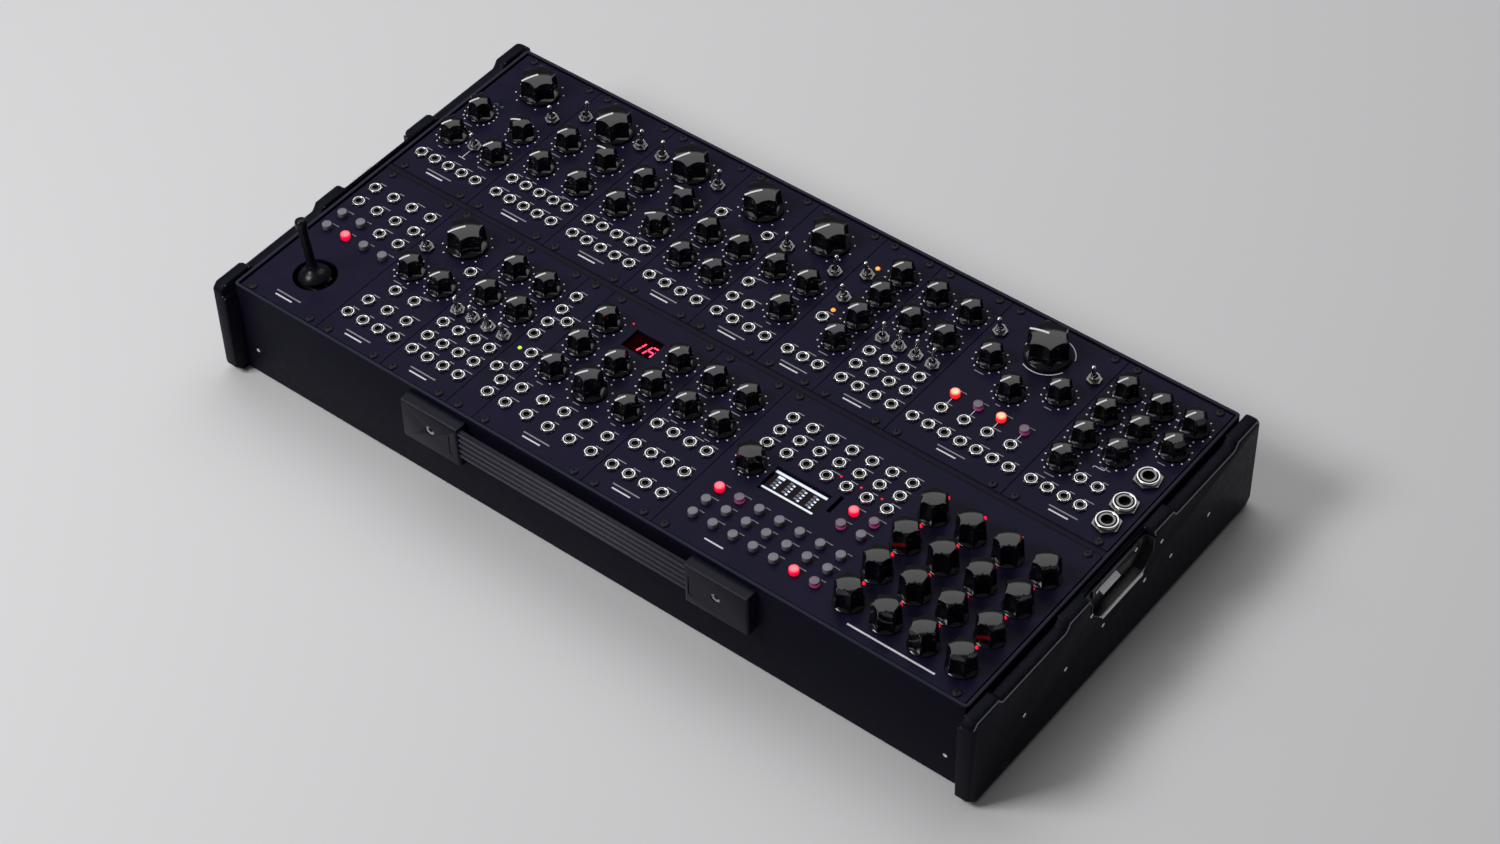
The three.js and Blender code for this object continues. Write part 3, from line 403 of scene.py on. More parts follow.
# %% Black finishes
powder_coat = grained("powder_coat", (0.004, 0.004, 0.010), (0.007, 0.006, 0.015), (0.42, 0.55),
                      relief=0.00002, coarse=160, fine=3500, specular=0.035)
grained_moulding = grained("grained_moulding", (0.004, 0.004, 0.009), (0.008, 0.008, 0.015),
                           (0.38, 0.52), relief=0.00018, coarse=260, fine=1100, specular=0.05)
handle_moulding = grained("handle_moulding", (0.006, 0.006, 0.013), (0.010, 0.010, 0.019),
                          (0.28, 0.4), relief=0.00003, coarse=300, fine=2600, specular=0.1)
strap_moulding = grained("strap_moulding", (0.008, 0.008, 0.015), (0.013, 0.012, 0.021),
                         (0.28, 0.4), relief=0.00002, coarse=300, fine=2600, specular=0.15)
panel_black = grained("panel_black", (0.007, 0.006, 0.020), (0.011, 0.009, 0.029), (0.34, 0.42),
                      relief=0.000006, coarse=70, fine=4200, specular=0.055)
knob_black = grained("knob_black", (0.003, 0.003, 0.004), (0.005, 0.005, 0.007), (0.10, 0.16),
                     relief=0.000003, coarse=240, fine=3200, specular=0.5)
stick_black = grained("stick_black", (0.004, 0.004, 0.007), (0.007, 0.007, 0.011), (0.24, 0.34),
                      relief=0.00001, coarse=240, fine=3200, specular=0.2)
screw_black = grained("screw_black", (0.004, 0.004, 0.009), (0.008, 0.007, 0.015), (0.4, 0.55),
                      relief=0.00001, coarse=800, fine=4200, specular=0.2)
rail_black = grained("rail_black", (0.002, 0.002, 0.003), (0.005, 0.005, 0.007), (0.6, 0.75),
                     relief=0.00001, coarse=120, fine=3600, specular=0.15)
bore_black = grained("bore_black", (0.002, 0.002, 0.002), (0.004, 0.004, 0.004), (0.6, 0.7),
                     specular=0.2)

# %% Metal, print, glass and cap finishes
nickel = grained("nickel", (0.60, 0.61, 0.60), (0.74, 0.75, 0.74), (0.14, 0.24),
                 relief=0.000006, coarse=500, fine=4000, metallic=1.0)
catch_steel = grained("catch_steel", (0.74, 0.75, 0.80), (0.82, 0.83, 0.88), (0.26, 0.34),
                      relief=0.000002, coarse=90, fine=2400, metallic=0.6)
print_white = grained("print_white", (0.66, 0.66, 0.71), (0.76, 0.76, 0.81), (0.5, 0.6))
print_fine = grained("print_fine", (0.20, 0.20, 0.23), (0.28, 0.28, 0.31), (0.5, 0.6))
collar_steel = grained("collar_steel", (0.16, 0.16, 0.16), (0.24, 0.24, 0.24), (0.3, 0.4),
                       coarse=500, metallic=1.0)
pan_steel = grained("pan_steel", (0.006, 0.006, 0.009), (0.011, 0.011, 0.015), (0.3, 0.42),
                    relief=0.000005, coarse=160, fine=3000, specular=0.3)
print_teal = grained("print_teal", (0.03, 0.17, 0.21), (0.05, 0.24, 0.29), (0.5, 0.6))
pointer_white = grained("pointer_white", (0.72, 0.72, 0.76), (0.82, 0.82, 0.86), (0.4, 0.5))
cup_steel = grained("cup_steel", (0.34, 0.34, 0.40), (0.46, 0.46, 0.53), (0.35, 0.45), metallic=0.4)
number_glass = grained("number_glass", (0.008, 0.0005, 0.001), (0.014, 0.001, 0.002), (0.3, 0.4),
                       specular=0.0)
window_glass = grained("window_glass", (0.004, 0.002, 0.004), (0.008, 0.003, 0.006), (0.2, 0.28),
                       specular=0.06)
board_green = grained("board_green", (0.01, 0.09, 0.04), (0.02, 0.14, 0.07), (0.4, 0.5))
cap_grey = grained("cap_grey", (0.15, 0.14, 0.17), (0.21, 0.20, 0.23), (0.35, 0.5), coarse=400)
print("materials", len(bpy.data.materials))

# %% [markdown]
# ### Painted highlights and shade on edges
# Some edges have light or shade painted into their colour. The cheeks' rounded outer edges are marked on
# the mesh with an attribute and get a painted highlight. So do the tray's rim, its highest part, and the
# strap's ribs, which stand furthest out to the front; both are found by their place. The catch plates get
# painted shade, dark but for the hook that reaches out. The latch pans are nearly white where two masks
# meet: their rim stands furthest out from the middle of the case, and only its lower part is lighter.

# %% Lay the painted highlights and shade over the plain colours
TRAY_RIM_Z = (0.0706, 0.0709)
STRAP_RIB_Y = (-0.13930, -0.13970)
CATCH_PLATE_X = (0.2742, 0.2736)
PAN_RIM_X, PAN_RIM_Z = (0.2780, 0.2783), (0.0505, 0.0490)
# Painted highlight: the cheeks' rounded outer edges, marked by the attribute, are much lighter.
overlay(grained_moulding, attribute_mask(grained_moulding, "edge_highlight"), (0.20, 0.20, 0.24))
# Painted highlight: the tray's rim, its highest part, is lighter.
overlay(powder_coat, coordinate_mask(powder_coat, "Z", *TRAY_RIM_Z), (0.028, 0.028, 0.045))
# Painted highlight: the strap's ribs, which stand furthest out to the front, are lighter.
overlay(strap_moulding, coordinate_mask(strap_moulding, "Y", *STRAP_RIB_Y), (0.045, 0.043, 0.066))
# Painted shade: the catch plates are dark but for the hook that reaches out of the pan. The joystick's
# gimbal, in the same finish, is dark all over.
overlay(catch_steel, coordinate_mask(catch_steel, "X", *CATCH_PLATE_X, absolute=True), (0.03, 0.03, 0.04))
# The latch pans are nearly white on the lower part of their outer rim, where the two masks meet.
both = pan_steel.node_tree.nodes.new("ShaderNodeMath")
both.operation = "MULTIPLY"
pan_links = pan_steel.node_tree.links
pan_links.new(coordinate_mask(pan_steel, "X", *PAN_RIM_X, absolute=True), both.inputs[0])
pan_links.new(coordinate_mask(pan_steel, "Z", *PAN_RIM_Z), both.inputs[1])
overlay(pan_steel, both.outputs["Value"], (0.90, 0.90, 0.95))
print("highlit_and_shaded edges ready")

# %% [markdown]
# ### Lit finishes
# A lit button is a translucent cap over a red lamp: its flat top is so bright that it washes out to
# pink, with a still paler middle where the lamp is, and its side stays deep red. All caps stand at one
# height, so a band mask on the height divides top from side, and an attribute of the mesh marks the
# middle. A cap whose lamp is dim glows only low on its side. Lamps shine in one colour that varies a
# little with the grain.

# %% Helper and finishes that shine
BASE_DARKEN = 0.8


def shining(name, core, rim, strength, base):
    """A surface that shines in a colour that runs from core to rim with the grain."""
    material = grained(name, base, tuple(BASE_DARKEN * v for v in base), (0.3, 0.4), coarse=400)
    shader = material.node_tree.nodes["Principled BSDF"]
    shader.inputs["Emission Strength"].default_value = strength
    mask = material.node_tree.nodes["grain"].outputs["Mask"]
    material.node_tree.links.new(colour_mix(material, mask, core, rim), shader.inputs["Emission Color"])
    return material


cap_lit = shining("cap_lit", (1.0, 0.0, 0.05), (0.92, 0.0, 0.04), 1.0, (0.10, 0.01, 0.02))
cap_hot = shining("cap_hot", (1.0, 0.02, 0.02), (0.95, 0.01, 0.01), 1.0, (0.10, 0.01, 0.01))
cap_faint = shining("cap_faint", (0.24, 0.02, 0.10), (0.20, 0.01, 0.08), 1.0, (0.15, 0.12, 0.16))
lamp_red = shining("lamp_red", (1.0, 0.01, 0.03), (0.9, 0.01, 0.02), 1.0, (0.3, 0.01, 0.02))
lamp_orange = shining("lamp_orange", (1.0, 0.35, 0.05), (1.0, 0.25, 0.02), 1.3, (0.6, 0.25, 0.05))
lamp_green = shining("lamp_green", (0.55, 0.85, 0.08), (0.4, 0.7, 0.05), 1.0, (0.3, 0.5, 0.08))
segment_red = shining("segment_red", (1.0, 0.03, 0.12), (1.0, 0.02, 0.09), 2.2, (0.3, 0.01, 0.04))
cell_white = shining("cell_white", (0.70, 0.80, 0.95), (0.60, 0.72, 0.90), 0.75, (0.4, 0.4, 0.4))
cell_dim = shining("cell_dim", (0.10, 0.11, 0.14), (0.08, 0.09, 0.12), 0.7, (0.05, 0.05, 0.06))
CAP_TOP = 0.0735
TOP_EDGE = (CAP_TOP - 0.0006, CAP_TOP - 0.0003)
FAINT_EDGE = (CAP_TOP - 0.0022, CAP_TOP - 0.0012)
for cap, edge, top in ((cap_lit, TOP_EDGE, (1.0, 0.08, 0.13)), (cap_hot, TOP_EDGE, (1.0, 0.20, 0.12)),
                       (cap_faint, FAINT_EDGE, (0.02, 0.0, 0.005))):
    overlay(cap, coordinate_mask(cap, "Z", *edge), top, "Emission Color")
for cap, middle in ((cap_lit, (1.0, 0.24, 0.29)), (cap_hot, (1.0, 0.78, 0.50))):
    overlay(cap, attribute_mask(cap, "core"), middle, "Emission Color")
print("lit finishes ready")

# %% [markdown]
# ## The case pieces
# The tray, cheeks, pans and handle have the right shapes in the frame already, with crisp edges. Each
# is copied, its loose triangles are merged into whole faces, and the edges are rounded as a folded or
# moulded edge is. The copy then stands for the frame's own node.

# %% Helper: round the edges of a copied node
MERGE_DISTANCE, FLAT_ANGLE = 1e-6, math.radians(1.0)


def refined(node, name, width, material, body=ROOT):
    """A copy of a CAD node with merged faces, rounded edges and its own material, in the node's stead."""
    twin = twin_of(frame["nodes"][node])
    twin.parent = None
    twin.matrix_world = Matrix.Identity(4)
    twin.name = twin.data.name = name
    only(twin)
    bpy.ops.object.mode_set(mode="EDIT")
    bpy.ops.mesh.select_all(action="SELECT")
    bpy.ops.mesh.remove_doubles(threshold=MERGE_DISTANCE)
    bpy.ops.mesh.dissolve_limited(angle_limit=FLAT_ANGLE)
    bpy.ops.object.mode_set(mode="OBJECT")
    dress(twin, material)
    return settle(soften(twin, width), body, node)


# %% Refine the case pieces
case_looks = [
    ("case_tray", "tray_body", 0.0006, powder_coat, "tray"),
    ("left_end_cheek", "left_cheek_moulding", 0.0010, grained_moulding, "cheek"),
    ("right_end_cheek", "right_cheek_moulding", 0.0010, grained_moulding, "cheek"),
    ("left_latch_pan", "left_pan_sheet", 0.0002, pan_steel, "steel"),
    ("right_latch_pan", "right_pan_sheet", 0.0002, pan_steel, "steel"),
    ("left_catch_plate", "left_catch_sheet", 0.0002, catch_steel, "steel"),
    ("right_catch_plate", "right_catch_sheet", 0.0002, catch_steel, "steel"),
    ("left_handle_cap", "left_cap_moulding", 0.0006, handle_moulding, "handle"),
    ("right_handle_cap", "right_cap_moulding", 0.0006, handle_moulding, "handle"),
    ("handle_strap", "strap_ribs", 0.0005, strap_moulding, "handle"),
]
for node, name, width, material, slot_name in case_looks:
    piece = refined(node, name, width, material)
    print(name, len(piece.data.polygons), "faces")

# %% Mark the cheeks' rounded outer edges for a painted highlight
EDGE_OUTWARDS, EDGE_UPWARDS = (0.6, 0.9), 0.2


def mark_highlight_edges(piece):
    """Gives the rounded faces between a cheek's top and outer side a value of 1 as an attribute, for a
    painted highlight.
    """
    mark = piece.data.attributes.new("edge_highlight", "FLOAT", "FACE")
    for face in piece.data.polygons:
        outwards = EDGE_OUTWARDS[0] < abs(face.normal.x) < EDGE_OUTWARDS[1]
        mark.data[face.index].value = float(outwards and face.normal.z > EDGE_UPWARDS)
    return sum(1 for item in mark.data if item.value > 0)


for name in ("left_cheek_moulding", "right_cheek_moulding"):
    print(name, mark_highlight_edges(bpy.data.objects[name]), "rubbed faces")
for node in ("front_rail", "middle_rail", "rear_rail"):
    dress(frame["nodes"][node], rail_black)
dress(frame["nodes"]["power_board"], board_green)

# %% [markdown]
# ## Knobs
# A fluted knob is a turned body with six hollow flutes down its side, under a smooth low dome, on a
# thin skirt that slopes outwards. The body starts as a cylinder; its top face is inset and lifted ring
# by ring along an arc, which makes the dome. A round cutter, drawn in towards the top like the body
# itself, is taken out six times, and so the dome keeps a scalloped edge as the real one does. The white
# pointer is a thin band over the dome, with a short mark on the skirt in the same direction.

# %% Helper: a domed body
KNOB_SIDES = 48
DOME_RINGS = (0.92, 0.76, 0.55, 0.3, 0.1)


def dome_rise(r, top, drop):
    """The height above a dome's edge of its surface at a distance from the axis."""
    ball = (top * top + drop * drop) / (2 * drop)
    return math.sqrt(max(ball * ball - r * r, 0)) - (ball - drop)


def knob_body(name, foot, top, height, drop, skirt_height):
    """A tapered round body with a dome, standing on z = 0."""
    edge_z = height - drop
    base = foot + (foot - top) * skirt_height / (edge_z - skirt_height)
    body = open_top(name, KNOB_SIDES, base, edge_z)
    widen(top / base)
    reach = top
    for share in DOME_RINGS:
        rise = dome_rise(top * share, top, drop) - dome_rise(reach, top, drop)
        inset(reach - top * share, rise)
        reach = top * share
    bpy.ops.object.mode_set(mode="OBJECT")
    return body, base


# %% Helpers: cut the flutes, add the skirt and the pointer
FLUTES, FLUTE_SIDES = 6, 44
FLUTE_FLOOR, FLUTE_HALF = 0.77, math.radians(27.5)
SKIRT_SLOPE, SKIRT_INNER = math.tan(math.radians(20.0)), 0.7
OVERREACH, SPLINTER = 0.001, 0.00006
POINTER_THICK = 0.00024


def cut_flutes(body, base, top, height, drop):
    """Takes the flutes out of a knob's body, between ridges at 0, 60, 120 degrees and so on."""
    away = (1 - FLUTE_FLOOR ** 2) / (2 * (math.cos(FLUTE_HALF) - FLUTE_FLOOR))
    over = height + OVERREACH
    share = 1 - (1 - top / base) * over / (height - drop)
    for k in range(FLUTES):
        angle = math.radians(360 / FLUTES * (k + 0.5))
        cutter = open_top("flute", FLUTE_SIDES, (away - FLUTE_FLOOR) * base, over,
                          away * base * math.cos(angle), away * base * math.sin(angle))
        widen(share)
        choose(cutter, "FACE", face_at(0, -1.0))
        lift(-OVERREACH)
        bpy.ops.object.mode_set(mode="OBJECT")
        cut_out(body, cutter)
    only(body)
    bpy.ops.object.mode_set(mode="EDIT")
    bpy.ops.mesh.select_all(action="SELECT")
    bpy.ops.mesh.remove_doubles(threshold=SPLINTER)
    bpy.ops.object.mode_set(mode="OBJECT")


def knob_skirt(name, skirt, edge, foot):
    """A thin disc whose top slopes up towards the body, also behind the flutes."""
    disc = open_top(name, KNOB_SIDES, skirt, edge)
    inner = foot * SKIRT_INNER
    draw_up((skirt - inner) * SKIRT_SLOPE)
    widen(inner / skirt)
    bpy.ops.object.mode_set(mode="OBJECT")
    return soften(disc, 0.0002, angle=15, smooth=32)


def thin_band(name, path, width, material):
    """A closed thin band along a path of (x, z) points, as wide as said along Y."""
    sliver = 0.0001
    start_x, start_z = path[0]
    strip = start_piece(name, "plane", size=1.0, location=(0, 0, 0))
    bpy.ops.object.mode_set(mode="EDIT")
    bpy.ops.mesh.select_all(action="SELECT")
    bpy.ops.transform.resize(value=(sliver, width, 1))
    bpy.ops.transform.translate(value=(start_x + sliver / 2, 0, start_z))
    choose(strip, "EDGE", lambda edge: all(v.co.x > start_x + sliver / 2 for v in edge.verts))
    here = (start_x + sliver, start_z)
    for r, z in path[1:]:
        bpy.ops.mesh.extrude_region_move(TRANSFORM_OT_translate={"value": (r - here[0], 0, z - here[1])})
        here = (r, z)
    bpy.ops.mesh.select_all(action="SELECT")
    bpy.ops.mesh.normals_make_consistent(inside=False)
    bpy.ops.object.mode_set(mode="OBJECT")
    shell = strip.modifiers.new("thickness", "SOLIDIFY")
    shell.thickness = POINTER_THICK
    shell.offset = 0
    apply_modifiers(strip)
    return dress(strip, material)


# %% Model the kinds of knob
# The sizes are, in millimetres: the skirt's radius, its edge's height and its own, the body's radius
# at the foot and at the top, the whole height, the dome's drop, and the pointer's width or 0.
POINTER_PROUD = 0.00006
MARK_INNER_GAP, MARK_OUTER_GAP = 0.0003, 0.00012
POINTER_SHARES = (0, 0.3, 0.55, 0.76, 0.92, 0.97)


def model_knob(name, *sizes):
    """A whole knob about the upright axis at the origin, with its pointer towards +X."""
    skirt, edge, skirt_height, foot, top, height, drop, pointer = metres(*sizes)
    body, base = knob_body(name, foot, top, height, drop, skirt_height)
    cut_flutes(body, base, top, height, drop)
    soften(body, 0.00022, angle=24, smooth=30)
    parts = [dress(body, knob_black), dress(knob_skirt(name + "_skirt", skirt, edge, foot), knob_black)]
    if pointer:
        path = [(top * share, height - drop + dome_rise(top * share, top, drop) + POINTER_PROUD)
                for share in POINTER_SHARES]
        parts.append(thin_band(name + "_pointer", path, pointer, pointer_white))
        mark = [(r, edge + (skirt - r) * SKIRT_SLOPE + POINTER_PROUD)
                for r in (foot + MARK_INNER_GAP, skirt - MARK_OUTER_GAP)]
        parts.append(thin_band(name + "_skirt_mark", mark, pointer * 1.1, pointer_white))
    print(name, sum(len(part.data.polygons) for part in parts), "faces")
    return join_pieces(name, parts)


small_knob = model_knob("small_knob", 9.2, 1.6, 2.2, 8.3, 6.7, 13.1, 1.1, 1.15)
medium_knob = model_knob("medium_knob", 10.6, 1.8, 2.6, 9.6, 7.9, 16.6, 1.3, 1.2)
large_knob = model_knob("large_knob", 13, 1.9, 2.8, 12.2, 11.3, 15.4, 1.7, 1.35)
delay_knob = model_knob("delay_knob", 14.5, 2.0, 3.0, 13.7, 12.8, 17.6, 2.0, 1.4)
step_knob = model_knob("step_knob", 9.3, 0.8, 1.2, 9.1, 8.3, 16.6, 1.5, 0)
encoder_knob = model_knob("encoder_knob", 9.3, 0.8, 1.2, 9.1, 8.3, 12.5, 1.5, 0)

# %% [markdown]
# ## Patch sockets, levers, buttons and screws
# A patch socket shows a hexagonal nut, a thin threaded collar and a dark bore. There are over a
# hundred and fifty of them, so one model has only a few dozen faces: the nut is a six-sided cylinder
# with a hole, under a round rim whose top face is inset and drawn down and up for a sloping band, the
# groove, the collar and bore.

# %% Model the sockets and the levers' nut
# The sizes are, in millimetres: the nut's width across its flats and its height, the rim's outer and
# inner radius and its height, the collar's radius, and the bore's radius and depth. The rim's steps
# are shares of its width: how far in, and how far up.
NUT_FLOOR, NUT_HOLE = 0.00004, 0.9
RIM_STEPS = ((0.25, 0.18), (0.5, 0.0), (0.25, -0.2))
GROOVE_SINK, COLLAR_RISE = 0.4, 0.45
GAP_EDGE, NEARLY = 0.3, 1.03


def model_socket(name, sides, *sizes):
    """A nut under a bright sloping rim, with a dark groove, a thin collar and a bore inside it."""
    across, nut_height, rim, rim_inner, rim_height, collar, bore, depth = metres(*sizes)
    nut = open_top(name, 6, across / math.sqrt(3), nut_height)
    inset(across / 2 - rim * NUT_HOLE)
    draw_up(NUT_FLOOR - nut_height)
    bpy.ops.object.mode_set(mode="OBJECT")
    ring = open_top(name + "_rim", sides, rim, rim_height)
    band, gap = rim - rim_inner, rim_inner - collar
    for share, rise in RIM_STEPS:
        inset(band * share, band * rise)
    inset(gap, -rim_height * GROOVE_SINK)
    draw_up(rim_height * COLLAR_RISE)
    inset(collar - bore)
    draw_up(-depth)
    bpy.ops.object.mode_set(mode="OBJECT")
    shade(ring, 62)
    dress(nut, collar_steel)
    dress(ring, nickel, bore_black, collar_steel)
    for face in ring.data.polygons:
        near = sum(Vector(ring.data.vertices[i].co[:2]).length for i in face.vertices) / len(face.vertices)
        in_gap = collar + gap * GAP_EDGE < near < rim_inner - gap * GAP_EDGE
        if near < bore * NEARLY or in_gap:
            face.material_index = 1
        elif near < collar * NEARLY:
            face.material_index = 2
    print(name, len(nut.data.polygons) + len(ring.data.polygons), "faces")
    return join_pieces(name, [nut, ring])


jack = model_socket("jack", 14, 8.0, 0.9, 4.1, 3.0, 1.7, 2.6, 2.1, 1.62)
big_socket = model_socket("big_socket", 28, 15.0, 1.8, 7.0, 5.5, 4.0, 4.8, 3.6, 3.9)
toggle_nut = model_socket("toggle_nut", 16, 8.2, 1.8, 3.1, 2.9, 4.2, 2.6, 2.2, 3.0)

# %% Model the bat-shaped lever about its own pivot, each step a rise and the share by which it widens
LEVER_RADIUS, LEVER_ROOT = 0.001, 0.005
LEVER_STEPS = ((0.001666, 1.7), (0.001176, 0.62), (0.006566, 1.38), (0.001568, 1.08), (0.000882, 0.8),
               (0.00049, 0.55))
lever_model = open_top("lever", 20, LEVER_RADIUS, LEVER_ROOT, foot=-LEVER_ROOT)
for rise, grow in LEVER_STEPS:
    draw_up(rise)
    widen(grow)
bpy.ops.object.mode_set(mode="OBJECT")
dress(shade(lever_model, 50), nickel)
print("lever top at", round(max(v.co.z for v in lever_model.data.vertices) * 1000, 2), "mm above its pivot")

# %% Model a button cap, a panel screw, a case screw and a lamp
CAP_RADIUS, CAP_HEIGHT = 0.003, 0.0035
CORE_INSET, CORE_REACH = 0.0013, 0.0016
SCREW_WALL, SCREW_SHOULDER, SCREW_CROWN, RECESS_RADIUS = 0.6, (0.15, 0.25), (0.3, 0.15), 0.36


def model_cap():
    """A round cap with a soft top edge, its middle marked for the lamp under it."""
    cap = start_piece("cap", "cylinder", vertices=24, radius=CAP_RADIUS, depth=CAP_HEIGHT,
                      location=(0, 0, CAP_HEIGHT / 2))
    soften(cap, 0.00028, angle=60, smooth=50)
    bpy.ops.object.mode_set(mode="EDIT")
    choose(cap, "FACE", face_at(CAP_HEIGHT))
    inset(CORE_INSET)
    bpy.ops.object.mode_set(mode="OBJECT")
    core = cap.data.attributes.new("core", "FLOAT", "POINT")
    for corner in cap.data.vertices:
        in_core = corner.co.z > CAP_HEIGHT - 0.0001 and corner.co.xy.length < CORE_REACH
        core.data[corner.index].value = float(in_core)
    return cap


def model_screw(name, radius, height, material):
    """A low pan-head screw with a six-sided recess, cut out with a six-sided cylinder."""
    screw = open_top(name, 24, radius, height * SCREW_WALL)
    for inward, upward in (SCREW_SHOULDER, SCREW_CROWN):
        inset(radius * inward, height * upward)
    bpy.ops.object.mode_set(mode="OBJECT")
    cut_out(screw, start_piece("recess", "cylinder", vertices=6, radius=radius * RECESS_RADIUS,
                               depth=height, location=(0, 0, height)))
    return dress(shade(screw, 35), material)


cap_model = model_cap()
screw_model = model_screw("panel_screw", 0.0027, 0.0011, screw_black)
case_screw = model_screw("case_screw", 0.0015, 0.0007, nickel)
lamp_model = start_piece("lamp", "uv_sphere", segments=12, ring_count=6, radius=0.0013, location=(0, 0, 0))
bpy.ops.object.shade_smooth()
print("cap", len(cap_model.data.polygons), "screw", len(screw_model.data.polygons))

# %% [markdown]
# ## The layout of the modules
# The panels follow a rack standard: widths in units of 5.08 mm, and rows 133.35 mm apart. Each
# module's controls are listed from its own front left corner, in millimetres, in the order in which
# they stand. The frame's origin is in the middle of the case on the table, so one function turns a
# place on a panel into a place in the scene.

# %% The layout's places
UNIT, ROW_PITCH, PANEL_DEPTH = 5.08, 133.35, 128.5
CENTRE_X, CENTRE_Y, PANEL_TOP = 264.16, 128.975, 70.0
FOUR_COLUMNS = [7.5, 19.4, 31.4, 43.3]
STEP_X, STEP_Y, LIVE_STEP_Y = [122.3, 147.3, 172.2, 197.2], [97.5, 71.4, 45.2], 19.1


def row_of(xs, y):
    """Places in a row."""
    return [(x, y) for x in xs]


def grid_of(xs, ys):
    """Places in rows and columns."""
    return [(x, y) for y in ys for x in xs]


def spread(first, pitch, count):
    """Evenly spaced values."""
    return [first + i * pitch for i in range(count)]


